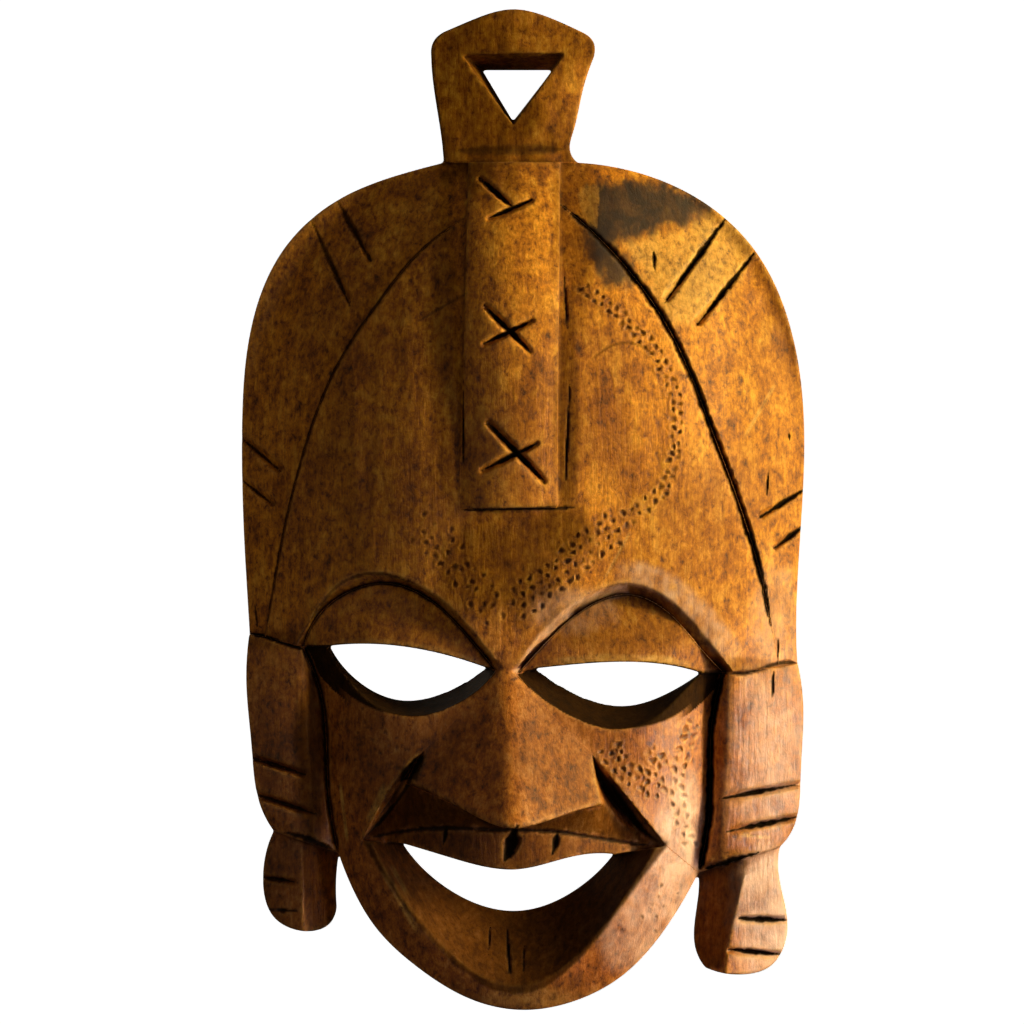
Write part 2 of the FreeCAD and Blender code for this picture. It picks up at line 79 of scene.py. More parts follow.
MOUTH_TOP = [(-42.8, -295.3), (-22.0, -301.2), (2.0, -305.0), (22.0, -300.4), (38.6, -299.6)]
MOUTH_FRONT = [(-57.5, -294.5), (-38.0, -324.0), (2.0, -353.0), (43.0, -317.0), (58.5, -296.5)]
EAR_GROOVE_LEFT = [(-80.0, -220.8), (-73.5, -238.0), (-70.5, -275.0), (-66.6, -299.3)]
EAR_GROOVE_RIGHT = [(80.0, -230.5), (76.2, -248.0), (74.2, -290.0), (70.8, -307.0)]

# ---- knife cuts and marks: lines in (x, z); cuts also have a width ----
BROW_LEFT = [(-82.5, -219.3), (-76.0, -208.8), (-65.0, -196.3), (-52.5, -192.7), (-38.0, -196.3),
             (-20.0, -209.5), (-5.5, -228.0)]
BROW_RIGHT = [(0.5, -229.5), (8.0, -218.8), (24.0, -203.2), (43.5, -196.2), (61.0, -203.8),
              (74.5, -218.3), (83.5, -230.2)]
ARCH_LINE_RIGHT = ARCH_RIGHT[:-1] + [(99.0, -215.5)]
RIDGE_CROSSES = [((-13.0, -42.0), (0.5, -54.0), 2.5), ((-10.0, -58.0), (7.5, -50.5), 2.3),
                 ((-11.0, -91.0), (7.0, -109.0), 2.7), ((-12.0, -106.0), (8.0, -96.5), 2.3),
                 ((-10.0, -135.0), (12.5, -158.5), 2.9), ((-12.5, -154.0), (10.0, -143.0), 2.5)]
LEFT_CUTS = [((-68.0, -49.0), (-54.0, -74.0), 3.6), ((-77.0, -58.0), (-62.0, -91.0), 3.0),
             ((-104.0, -141.0), (-88.5, -154.0), 1.8), ((-104.0, -157.0), (-91.0, -167.0), 1.6),
             ((-102.0, -262.5), (-79.0, -269.5), 2.4), ((-100.0, -276.5), (-75.0, -284.5), 2.4),
             ((-97.0, -308.5), (-83.0, -310.5), 2.4), ((-94.0, -321.0), (-82.0, -321.5), 2.2)]
RIGHT_CUTS = [((82.5, -55.5), (58.0, -89.5), 3.0), ((94.5, -67.5), (70.0, -98.5), 3.0),
              ((112.5, -160.0), (94.2, -171.3), 2.8), ((112.0, -174.0), (99.3, -183.6), 2.8),
              ((78.5, -278.7), (107.5, -273.6), 2.6), ((81.5, -291.2), (110.0, -285.5), 2.8),
              ((85.0, -324.3), (104.5, -325.3), 3.0), ((81.0, -336.0), (104.0, -338.5), 2.6)]
EYE_LINE_LEFT = [(-101.5, -215.6), (-94.5, -217.0), (-88.0, -219.3), (-79.0, -221.8)]
EYE_LINE_RIGHT = [(82.0, -231.0), (90.0, -230.6), (96.0, -228.6), (103.0, -226.8), (110.0, -227.3)]
LIP_LINE = [(-56.0, -293.6), (-30.0, -289.6), (-6.0, -290.0), (18.0, -291.0), (36.0, -294.0), (55.0, -296.8)]
CRACKS = [((99.2, -229.5), (99.0, -241.0), 1.1), ((101.2, -216.5), (101.0, -226.0), 0.8),
          ((97.6, -152.0), (96.6, -164.5), 0.9), ((19.6, -80.0), (20.6, -101.0), 1.6),
          ((21.6, -118.0), (19.6, -163.0), 1.3), ((53.4, -69.5), (54.0, -77.5), 2.0),
          ((-2.5, -326.0), (-1.0, -349.0), 1.6), ((4.5, -331.0), (4.0, -344.0), 0.8),
          ((-8.5, -324.0), (-9.5, -340.0), 0.7), ((-98.5, -205.0), (-97.5, -214.0), 0.8),
          ((105.3, -139.0), (105.6, -142.0), 1.4), ((-19.0, -120.0), (-18.6, -160.0), 0.8)]
SCRATCHES = [((101.0, -119.0), (87.5, -142.0), 0.9), ((45.0, -176.0), (34.0, -196.0), 0.7),
             ((86.0, -292.5), (99.0, -293.5), 0.7), ((-66.0, -271.0), (-63.0, -296.0), 0.8),
             ((-51.0, -303.0), (-35.0, -331.0), 1.6), ((-47.0, -303.0), (-39.0, -317.0), 1.2),
             ((-48.0, -272.0), (-55.5, -288.0), 1.8)]
SCRIBED_RIGHT = [(29.5, -112.0), (37.0, -106.5), (47.0, -105.8), (54.0, -110.0)]
SCRIBED_LEFT = [(-17.0, -86.0), (-26.0, -91.0), (-36.0, -97.0)]
STAIN = [(30.0, -45.0), (46.0, -43.5), (62.0, -45.0), (77.0, -53.0), (70.0, -57.5), (60.0, -60.5),
         (50.0, -63.5), (42.0, -66.0), (41.0, -72.0), (47.0, -81.0), (37.0, -83.0), (31.0, -76.0),
         (29.0, -62.0)]
BARE_CHIP = [(26.5, -46.0), (33.0, -45.0), (32.0, -61.5), (27.0, -57.0)]
BARE_PATCH = [(42.0, -67.0), (52.0, -64.5), (66.0, -60.5), (78.0, -55.5), (90.0, -68.0), (84.0, -84.0),
              (72.0, -96.0), (62.0, -98.0), (52.0, -84.0)]
FORELOCK = [(26.0, -84.0), (36.0, -91.0), (46.0, -100.0), (54.0, -108.5), (59.5, -119.0), (62.0, -130.0),
            (62.0, -141.0), (60.5, -151.0), (57.0, -160.5)]
SWEEP = [(57.0, -161.0), (48.0, -168.0), (38.0, -175.0), (27.0, -184.0), (15.0, -194.0), (0.0, -205.0)]
SWEEP_LEFT = [(-34.0, -172.0), (-26.0, -178.0), (-18.0, -188.0), (-10.0, -198.0), (-2.0, -207.0)]
CHEEK_ROW = [(36.0, -259.5), (41.0, -266.5), (48.0, -271.5), (56.0, -275.0)]
CHEEK_FALL = [(70.5, -249.5), (66.0, -262.0), (64.0, -272.0), (65.0, -284.0), (69.0, -296.0)]
WEDGE_RIM = [(30.2, -262.0), (35.0, -268.3), (43.0, -279.2), (51.0, -290.0), (57.5, -296.3)]
WEDGE_BOTTOM = [(30.2, -262.0), (31.6, -268.5), (35.5, -277.0), (43.0, -286.0), (50.0, -292.7),
                (57.5, -296.3)]
WEDGE_FAR = [(30.2, -262.0), (31.5, -271.5), (34.5, -281.0), (44.0, -291.5), (57.5, -296.3)]
LEFT_FOLD_RIM = [(-34.0, -260.5), (-41.0, -267.0), (-50.5, -281.0), (-57.0, -294.0)]
LEFT_FOLD_BOTTOM = [(-34.0, -260.5), (-38.5, -270.5), (-46.5, -282.5), (-57.0, -294.0)]
EAR_FOOT_RIGHT = [(71.2, -306.2), (79.0, -303.6), (86.0, -301.4), (93.5, -299.2)]
EAR_FOOT_LEFT = [(-88.0, -291.2), (-80.0, -293.2), (-74.0, -295.6), (-67.5, -298.6)]
DROP_EDGE = [(89.8, -301.5), (85.5, -318.0), (79.5, -343.5)]
DROP_INNER = [(70.5, -303.5), (68.5, -318.0), (66.5, -343.5)]
NOTCH_LEFT = [(-33.0, -261.5), (-43.0, -267.0), (-43.5, -271.5), (-36.5, -271.5), (-33.0, -261.5)]
BROW_HIGHLIGHT = [(36.0, -194.0), (47.0, -193.6), (63.0, -201.5), (77.5, -217.0), (86.0, -228.5)]
EAR_CREASE_RIGHT = [(81.0, -303.0), (82.0, -270.0), (84.0, -236.0)]
EAR_CREASE_LEFT = [(-76.0, -296.0), (-78.5, -260.0), (-82.0, -226.0)]
MOUTH_SCOOP = [MOUTH_TOP, [MOUTH_TOP[-1], MOUTH_FRONT[-1]], MOUTH_FRONT[::-1]]
SCOOP_DARKEST = [[(-7.0, -319.0), (-7.5, -349.5)], [(-7.5, -349.5), MOUTH_FRONT[2]], MOUTH_FRONT[2:],
                 [MOUTH_FRONT[-1], MOUTH_TOP[-1]], MOUTH_TOP[2:][::-1]]

# ---- soft oval patches: (centre), (half width, half height), strength ----
# painted shade, in part a darker finish: on the crest, beside and under the strip, down the left side, over
# the lids and on the lower face
SHADED = [((-6.0, -190.0), (24.0, 22.0), 0.8), ((4.0, -175.0), (22.0, 6.0), 0.6),
          ((-12.0, -8.0), (28.0, 38.0), 0.95), ((20.0, 12.0), (24.0, 12.0), 0.6),
          ((0.0, -30.0), (24.0, 3.5), 0.7), ((-26.0, -110.0), (8.0, 60.0), 0.6),
          ((-38.0, -135.0), (42.0, 100.0), 0.3), ((16.0, -177.0), (14.0, 11.0), 0.8),
          ((-45.0, -255.0), (26.0, 26.0), 0.3), ((-3.0, -338.0), (6.0, 16.0), 0.9),
          ((20.5, -125.0), (4.5, 52.0), 0.75), ((24.0, -60.0), (8.0, 34.0), 0.7),
          ((44.0, -212.0), (30.0, 12.0), 0.6), ((-42.0, -210.0), (30.0, 12.0), 0.3),
          ((-90.0, -320.0), (18.0, 26.0), 0.45), ((66.0, -188.0), (26.0, 40.0), 0.3),
          ((-77.0, -258.0), (6.0, 42.0), 0.9), ((24.0, -262.0), (26.0, 28.0), 0.3),
          ((100.0, -135.0), (18.0, 80.0), 0.25), ((0.0, -352.0), (30.0, 8.0), 0.4),
          ((88.0, -228.0), (14.0, 3.0), 0.5), ((-90.0, -218.0), (14.0, 4.0), 0.5)]
# paler wood with painted highlight, on the right ear, ear drop, cheek, jaw and brow
PALE = [((97.0, -262.0), (14.0, 34.0), 0.6), ((97.0, -322.0), (13.0, 26.0), 0.95),
        ((64.0, -290.0), (8.0, 20.0), 0.9), ((58.0, -312.0), (12.0, 16.0), 0.8),
        ((46.0, -330.0), (14.0, 12.0), 0.5), ((22.0, -207.0), (14.0, 8.0), 0.5),
        ((100.0, -212.0), (8.0, 22.0), 0.4)]


# ---- curves and fields ----

def smooth_curve(points, step=1.5):
    """The natural cubic curve through the points, as a dense polyline; straight for two points."""
    knots = np.array(points, float)
    if len(knots) == 2:
        return knots
    t = np.concatenate([[0.0], np.cumsum(np.linalg.norm(np.diff(knots, axis=0), axis=1))])
    h = np.diff(t)
    n = len(knots)
    system = np.eye(n)
    right = np.zeros((n, 2))
    for i in range(1, n - 1):
        system[i, i - 1:i + 2] = h[i - 1], 2.0 * (h[i - 1] + h[i]), h[i]
        right[i] = 6.0 * ((knots[i + 1] - knots[i]) / h[i] - (knots[i] - knots[i - 1]) / h[i - 1])
    bend = np.linalg.solve(system, right)
    out = []
    for i in range(n - 1):
        count = max(int(h[i] / step), 1)
        s = np.linspace(0.0, h[i], count, endpoint=False)[:, None]
        r = h[i] - s
        out.append((bend[i] * r ** 3 + bend[i + 1] * s ** 3) / (6.0 * h[i])
                   + (knots[i] / h[i] - bend[i] * h[i] / 6.0) * r
                   + (knots[i + 1] / h[i] - bend[i + 1] * h[i] / 6.0) * s)
    out.append(knots[-1:])
    return np.concatenate(out)


def evenly(points, spacing):
    """Points along a smooth curve, a given distance apart."""
    line = smooth_curve(points, 0.5)
    t = np.concatenate([[0.0], np.cumsum(np.linalg.norm(np.diff(line, axis=0), axis=1))])
    at = np.arange(0.0, t[-1], spacing)
    return np.stack([np.interp(at, t, line[:, 0]), np.interp(at, t, line[:, 1])], axis=1)


def loop_of(runs):
    """One closed outline from runs laid end to end; a gap between two runs closes with a line."""
    points = []
    for run in runs:
        for point in smooth_curve(run):
            if not points or np.hypot(*(point - points[-1])) > 1e-6:
                points.append(point)
    if np.hypot(*(points[0] - points[-1])) < 1e-6:
        points.pop()
    return np.array(points)


def smooth(value, low, high):
    share = np.clip((value - low) / (high - low), 0.0, 1.0)
    return share * share * (3.0 - 2.0 * share)


def inside(x, z, outline):
    """Which points lie within a closed outline."""
    within = np.zeros(len(x), bool)
    ring = np.asarray(outline, float)
    for (ax, az), (bx, bz) in zip(ring, np.roll(ring, -1, axis=0)):
        spans = (az > z) != (bz > z)
        if az != bz:
            within ^= spans & (x < (bx - ax) * (z - az) / (bz - az) + ax)
    return within


def value_noise(points, size, seed):
    """Smooth seeded noise from -1 to 1; size is the length of one cell along each axis."""
    cells = np.random.default_rng(seed).uniform(-1.0, 1.0, (NOISE_CELLS,) * 3)
    p = points / np.asarray(size, float) + 1000.0
    base = np.floor(p).astype(int)
    f = p - base
    f = f * f * (3.0 - 2.0 * f)
    total = np.zeros(len(points))
    for i in (0, 1):
        for j in (0, 1):
            for k in (0, 1):
                weight = (np.abs(1 - i - f[:, 0]) * np.abs(1 - j - f[:, 1]) * np.abs(1 - k - f[:, 2]))
                corner = (base + (i, j, k)) % NOISE_CELLS
                total += weight * cells[corner[:, 0], corner[:, 1], corner[:, 2]]
    return total


class Skin:
    """The vertices of the joined skin, in millimetres, and how each is carved and painted."""

    def __init__(self, obj):
        mesh = obj.data
        count = len(mesh.vertices)
        flat = np.empty(count * 3, np.float32)
        mesh.vertices.foreach_get("co", flat)
        self.co = flat.reshape(-1, 3).astype(float) / MM
        ends = np.empty(len(mesh.edges) * 2, np.int32)
        mesh.edges.foreach_get("vertices", ends)
        self.ends = ends.reshape(-1, 2)
        self.degree = np.bincount(self.ends.ravel(), minlength=count)
        self.normal = self.normals_of(mesh)
        self.x = self.co[:, 0].copy()
        self.z = self.co[:, 2].copy()
        self.depth = -self.co[:, 1]
        self.facing = smooth(-self.normal[:, 1], 0.12, 0.5)     # 1 on the front, 0 on sides and back
        self.outer = smooth(-self.normal[:, 1], -0.15, 0.1)     # 1 on the front and sides, 0 on the back
        self.push = np.zeros(count)                             # how far a vertex is cut in
        self.lift = np.zeros(count)                             # how far it stands proud
        # cut also holds painted shadow, shade holds painted shade, and pale holds painted highlight
        self.marks = {name: np.zeros(count) for name in ("cut", "stain", "bare_and_highlight", "pale", "shade")}

    @staticmethod
    def normals_of(mesh):
        flat = np.empty(len(mesh.vertices) * 3, np.float32)
        mesh.vertices.foreach_get("normal", flat)
        return flat.reshape(-1, 3).astype(float)

    def relaxed(self, rounds):
        """The vertices after this many rounds of moving each halfway to its neighbours' middle."""
        co = self.co
        a, b = self.ends[:, 0], self.ends[:, 1]
        count = len(co)
        for _ in range(rounds):
            middle = np.stack([np.bincount(a, co[b, i], count) + np.bincount(b, co[a, i], count)
                               for i in range(3)], axis=1) / self.degree[:, None]
            co = 0.5 * (co + middle)
        return co

    def close_to(self, line, margin=8.0):
        low = line.min(axis=0) - margin
        high = line.max(axis=0) + margin
        return np.flatnonzero((self.x > low[0]) & (self.x < high[0]) & (self.z > low[1])
                              & (self.z < high[1]))

    def along(self, line, near=None):
        """For vertices near a polyline: their indices, distance from it and share of its length."""
        line = np.asarray(line, float)
        if near is None:
            near = self.close_to(line)
        p = np.stack([self.x[near], self.z[near]], axis=1)
        best = np.full(len(near), 1e9)
        share = np.zeros(len(near))
        lengths = np.linalg.norm(np.diff(line, axis=0), axis=1)
        run = 0.0
        for a, b, length in zip(line[:-1], line[1:], lengths):
            t = np.clip(((p - a) @ (b - a)) / (length * length), 0.0, 1.0)
            away = np.linalg.norm(p - a - t[:, None] * (b - a), axis=1)
            closer = away < best
            best = np.where(closer, away, best)
            share = np.where(closer, (run + t * length) / lengths.sum(), share)
            run += length
        return near, best, share

    def mark(self, name, near, amount):
        self.marks[name][near] = np.maximum(self.marks[name][near], amount)

    def groove(self, line, width, depth, tip=0.12, colour=1.0, spread=1.0):
        """A V-section knife cut along a line, narrowing to its tips, with dark stain in it."""
        near, away, share = self.along(line)
        away = away + width * (0.12 * value_noise(self.co[near], (2.2, 9.0, 3.0), 51)
                               + 0.07 * value_noise(self.co[near], (0.9, 9.0, 1.2), 52))
        narrow = np.clip(np.minimum(share, 1.0 - share) / tip, 0.05, 1.0) ** 0.7 if tip else 1.0
        profile = np.clip(1.0 - away / (0.5 * width * narrow), 0.0, 1.0)
        self.push[near] = np.maximum(self.push[near], depth * narrow * profile * self.facing[near])
        painted = np.clip(1.0 - away / (0.5 * spread * width * narrow), 0.0, 1.0)
        self.mark("cut", near, colour * smooth(painted, 0.0, 0.5) * self.outer[near])

    def rub_and_highlight(self, line, width, amount, name="bare_and_highlight"):
        """Paint a pale band along a line: wear of the finish on the scratches, painted highlight on the brow
        and lid rims.
        """
        near, away, share = self.along(line)
        fade = smooth(np.minimum(share, 1.0 - share), 0.0, 0.2)
        wear_and_highlight = smooth(1.0 - away / width, 0.0, 0.6)
        wear_and_highlight *= 0.75 + 0.5 * value_noise(self.co[near], (2.0, 8.0, 3.0), 53)
        self.mark(name, near, np.clip(amount * fade * wear_and_highlight * self.facing[near], 0.0, 1.0))

    def punch(self, points, radius, depth, colour, rng):
        """Small pecked marks, no two alike: a three-cornered pit with a slight burr round it."""
        for x, z in points:
            size = radius * rng.uniform(0.7, 1.15)
            turn, corner = rng.uniform(0.0, math.pi, 2)
            near = np.flatnonzero((np.abs(self.x - x) < 2.4 * size) & (np.abs(self.z - z) < 2.4 * size))
            dx = self.x[near] - x
            dz = self.z[near] - z
            u = (dx * math.cos(turn) + dz * math.sin(turn)) / (1.25 * size)
            v = (dz * math.cos(turn) - dx * math.sin(turn)) / (0.85 * size)
            away = np.hypot(u, v) * (1.0 + 0.13 * np.cos(3.0 * np.arctan2(v, u) + corner))
            pit = np.clip(1.0 - away * away, 0.0, 1.0)
            burr = np.exp(-((away - 1.3) / 0.35) ** 2)
            sunk = depth * rng.uniform(0.5, 1.1)
            self.push[near] = np.maximum(self.push[near], sunk * pit * self.facing[near])
            self.lift[near] += 0.35 * sunk * burr * self.facing[near]
            self.mark("cut", near, colour * rng.uniform(0.3, 1.0) * smooth(pit, 0.1, 0.9) * self.outer[near])

    def level(self, line, shift=(0.0, 0.0), reach=1.5):
        """How far out the front stands along a line moved sideways by the shift."""
        found = np.full(len(line), np.nan)
        for i, (x, z) in enumerate(np.asarray(line) + shift):
            near = (np.abs(self.x - x) < reach) & (np.abs(self.z - z) < reach) & (self.normal[:, 1] < -0.4)
            if near.any():
                found[i] = np.median(self.depth[near])
        known = np.flatnonzero(~np.isnan(found))
        found = np.interp(np.arange(len(line)), known, found[known])
        return np.convolve(np.pad(found, 3, "edge"), np.ones(7) / 7.0, "valid")

    def slope(self, high, low, high_level, low_level):
        """Cut the front down to a slope ruled between two lines that stand at these levels."""
        near = self.close_to(np.concatenate([high, low]), 2.0)
        within = inside(self.x[near], self.z[near], np.concatenate([high, low[::-1]]))
        near = near[within & (self.normal[near, 1] < 0.25)]
        _, from_high, high_at = self.along(high, near)
        _, from_low, low_at = self.along(low, near)
        t = from_high / (from_high + from_low + 1e-6)
        level = ((1.0 - t) * np.interp(high_at, np.linspace(0.0, 1.0, len(high)), high_level)
                 + t * np.interp(low_at, np.linspace(0.0, 1.0, len(low)), low_level))
        self.push[near] = np.maximum(self.push[near], np.clip(self.depth[near] - level, 0.0, 16.0))

    def soften(self, line, width, rounds):
        """Round off an edge or a step that runs along a line; only depths change."""
        near, away, _ = self.along(line, self.close_to(np.asarray(line, float), width + 1.0))
        keep = (away < width) & (self.normal[near, 1] < 0.1)
        near = near[keep]
        weight = smooth(1.0 - away[keep] / width, 0.0, 0.6)
        place = np.full(len(self.x), -1)
        place[near] = np.arange(len(near))
        ends = place[self.ends]
        ends = ends[(ends >= 0).all(axis=1)]
        degree = np.maximum(np.bincount(ends.ravel(), minlength=len(near)), 1)
        y = self.co[near, 1]
        for _ in range(rounds):
            total = (np.bincount(ends[:, 0], y[ends[:, 1]], len(near))
                     + np.bincount(ends[:, 1], y[ends[:, 0]], len(near)))
            y = y + 0.7 * weight * (total / degree - y)
        self.co[near, 1] = y

    def wash(self, name, centre, radii, amount, seed):
        """A soft-edged oval patch."""
        near = np.flatnonzero((np.abs(self.x - centre[0]) < 1.7 * radii[0])
                              & (np.abs(self.z - centre[1]) < 1.7 * radii[1]) & (self.normal[:, 1] < 0.3))
        reach = np.hypot((self.x[near] - centre[0]) / radii[0], (self.z[near] - centre[1]) / radii[1])
        reach += 0.22 * value_noise(self.co[near], (5.0, 12.0, 9.0), seed)
        reach += 0.10 * value_noise(self.co[near], (1.6, 4.0, 3.5), seed + 1)
        self.mark(name, near, amount * smooth(1.45 - reach, 0.0, 0.9))

    def paint_patch(self, name, runs, soft, amount, seed, ragged=1.0):
        """A patch inside a loop of runs; its soft edge wanders by up to 2.4 mm times ragged."""
        ring = loop_of(runs)
        near, away, _ = self.along(np.concatenate([ring, ring[:1]]),
                                   self.close_to(ring, 3.0 * soft + 4.0 * ragged))
        signed = np.where(inside(self.x[near], self.z[near], ring), away, -away)
        signed += 1.6 * ragged * value_noise(self.co[near], (2.5, 6.0, 4.0), seed)
        signed += 0.8 * ragged * value_noise(self.co[near], (1.0, 3.0, 1.8), seed + 1)
        self.mark(name, near, amount * smooth(signed, -soft, soft) * (self.normal[near, 1] < 0.2))

    def settle(self):
        """Apply the cuts and rises."""
        self.co[:, 1] += self.push - self.lift
        self.depth = -self.co[:, 1]
        self.push[:] = 0.0
        self.lift[:] = 0.0

    def write(self, obj):
        """Put the vertices back, with what is painted and how edges stand proud as attributes."""
        mesh = obj.data
        mesh.vertices.foreach_set("co", (self.co * MM).astype(np.float32).ravel())
        mesh.update()
        normal = self.normals_of(mesh)
        proud = ((self.co - self.relaxed(14)) * normal).sum(axis=1)
        # raised edges paler: wear, with painted edge highlight; hollows darker
        self.marks["wear_and_highlight"] = np.clip(proud / 0.45, 0.0, 1.0)
        self.marks["grime"] = np.clip(-proud / 0.5, 0.0, 1.0)
        for name, values in self.marks.items():
            attribute = mesh.attributes.new(name, "FLOAT", "POINT")
            attribute.data.foreach_set("value", values.astype(np.float32))


# ---- carving ----

def carve_cuts(skin):
    """The knife cuts that ornament the head, ears and ear drops."""
    for start, end, width in RIDGE_CROSSES:
        skin.groove([start, end], width, 1.9, tip=0.4)
    for start, end, width in LEFT_CUTS:
        skin.groove([start, end], width, 1.4, tip=0.45, colour=0.75)
    for start, end, width in RIGHT_CUTS:
        skin.groove([start, end], width, 1.8, tip=0.45)
    skin.groove(smooth_curve(ARCH_LEFT), 1.5, 1.2, tip=0.1, colour=0.65)
    skin.groove(smooth_curve(ARCH_LINE_RIGHT), 3.7, 2.6, tip=0.13)
    skin.groove(smooth_curve(SCRIBED_RIGHT), 1.3, 0.25, colour=0.35)
    skin.groove(smooth_curve(SCRIBED_LEFT), 1.3, 0.25, colour=0.4)
    for start, end, width in CRACKS:
        skin.groove([start, end], width, 1.2, tip=0.4)
    for start, end, width in SCRATCHES:
        skin.groove([start, end], width, 0.25, tip=0.3, colour=0.0)
        skin.rub_and_highlight([start, end], width, 1.0)


def inward(line, middle):
    """For each point of a curve, the unit step across it on the side where the middle lies."""
    ahead = np.gradient(line, axis=0)
    across = np.stack([-ahead[:, 1], ahead[:, 0]], axis=1)
    across /= np.linalg.norm(across, axis=1)[:, None]
    side = np.sign(((np.asarray(middle) - line) * across).sum(axis=1))
    return across * side[:, None]


def carve_brow(skin, brow, arc, middle, depth):
    """The bevel between the forehead and a lid."""
    high = smooth_curve(brow)
    low = smooth_curve(arc)
    skin.slope(high, low, skin.level(high), skin.level(low, 3.0 * inward(low, middle)) - depth)


def carve_folds(skin):
    """The deep three-cornered cut at the right of the nose and the narrower one at its left."""
    rim = smooth_curve(WEDGE_RIM)
    bottom = smooth_curve(WEDGE_BOTTOM)
    far = smooth_curve(WEDGE_FAR)
    fade = np.sin(np.pi * np.linspace(0.0, 1.0, len(bottom))) ** 0.6
    floor = np.interp(np.linspace(0.0, 1.0, len(bottom)), np.linspace(0.0, 1.0, len(rim)),
                      skin.level(rim, (2.5, 1.5))) - 11.0 * fade
    skin.slope(rim, bottom, skin.level(rim, (2.5, 1.5)), floor)
    skin.slope(far, bottom, skin.level(far, (-1.5, 0.5)), floor)
    rim = smooth_curve(LEFT_FOLD_RIM)
    bottom = smooth_curve(LEFT_FOLD_BOTTOM)
    fade = np.sin(np.pi * np.linspace(0.0, 1.0, len(bottom))) ** 0.6
    level = skin.level(rim, (-2.5, 1.5))
    floor = np.interp(np.linspace(0.0, 1.0, len(bottom)), np.linspace(0.0, 1.0, len(rim)), level)
    skin.slope(rim, bottom, level, floor - 5.0 * fade)


def carve_drop(skin):
    """The long slanting facet on the inner side of the right ear drop."""
    edge = smooth_curve(DROP_EDGE)
    inner = smooth_curve(DROP_INNER)
    skin.slope(edge, inner, skin.level(edge, (1.0, 0.0)), skin.level(inner, (2.0, 0.0)) - 1.0)


def carve_face(skin):
    """Brow bevels, eye lines, the folds beside the nose, the lip and the ear grooves."""
    carve_brow(skin, BROW_RIGHT, LID_ARC_RIGHT, (41.0, -222.0), 1.5)
    carve_brow(skin, BROW_LEFT, LID_ARC_LEFT, (-43.0, -215.0), 1.0)
    carve_folds(skin)
    carve_drop(skin)
    skin.settle()
    skin.soften([(91.0, -300.0), (104.0, -296.5)], 9.0, 70)
    skin.soften([(-88.5, -290.5), (-97.0, -290.5)], 7.0, 60)
    skin.soften(smooth_curve(EAR_CREASE_RIGHT), 6.0, 50)
    skin.soften(smooth_curve(EAR_CREASE_LEFT), 4.5, 30)
    skin.soften(smooth_curve(NOSE_BASE), 2.6, 8)
    skin.soften(smooth_curve([*NOSE_RIGHT[:2], (24.0, -255.0)]), 4.0, 30)
    skin.soften(smooth_curve([*NOSE_LEFT[:2], (-29.0, -255.0)]), 4.0, 30)
    skin.soften([(60.0, -300.5), (67.0, -306.0)], 9.0, 60)
    skin.soften([(-59.0, -295.5), (-66.0, -299.0)], 4.0, 40)
    skin.soften(smooth_curve(MOUTH_FRONT), 2.4, 8)
    skin.groove(smooth_curve(LID_ARC_RIGHT), 1.6, 0.7, tip=0.05, colour=0.6)
    skin.groove(smooth_curve(LID_ARC_LEFT), 2.0, 0.9, tip=0.05, colour=0.8)
    skin.groove(smooth_curve(BROW_LEFT[:5]), 1.8, 0.5, tip=0.25, colour=0.7)
    skin.groove(smooth_curve(EYE_LINE_LEFT), 2.0, 1.6, tip=0.15)
    skin.groove(smooth_curve(EYE_LINE_RIGHT), 1.8, 1.3, tip=0.15, colour=0.65)
    skin.groove(smooth_curve([(-33.5, -261.0), (-38.0, -266.5), (-43.0, -272.0)]), 6.0, 2.6, tip=0.5)
    skin.groove(smooth_curve(LEFT_FOLD_BOTTOM), 1.8, 1.0, tip=0.3, colour=0.8)
    # painted shadow, near black, on the steep wall of the wedge at the right of the nose; the notch by the
    # left nostril painted dark
    skin.paint_patch("cut", [WEDGE_RIM, turned(WEDGE_BOTTOM)], 0.9, 1.0, 43, ragged=0.15)
    skin.paint_patch("cut", straight(*NOTCH_LEFT), 0.8, 0.9, 59, ragged=0.4)
    skin.groove(smooth_curve(EAR_GROOVE_RIGHT), 3.4, 7.0, tip=0.05)
    skin.groove(smooth_curve(EAR_GROOVE_LEFT), 2.6, 3.5, tip=0.05, colour=0.8)
    skin.groove(smooth_curve(EAR_FOOT_RIGHT), 3.2, 2.4, tip=0.5)
    skin.groove(smooth_curve(EAR_FOOT_LEFT), 3.6, 2.2, tip=0.5, colour=0.9)
    skin.groove(smooth_curve(LIP_LINE), 2.2, 1.2, tip=0.1, colour=0.75)
    skin.groove([(1.5, -288.0), (-3.0, -301.5)], 7.0, 3.0, tip=0.5)
    skin.groove([(17.0, -290.5), (15.0, -299.5)], 3.4, 1.6, tip=0.5)
    skin.groove([(-25.0, -288.5), (-26.5, -296.0)], 2.2, 1.2, tip=0.4)
    skin.groove([(-22.0, -31.5), (20.0, -31.0)], 3.0, 0.5, tip=0.2, colour=0.5, spread=1.6)
    skin.groove([(-21.0, -168.6), (17.0, -168.0), (24.5, -167.6)], 1.5, 0.7, tip=0.1, colour=0.9)


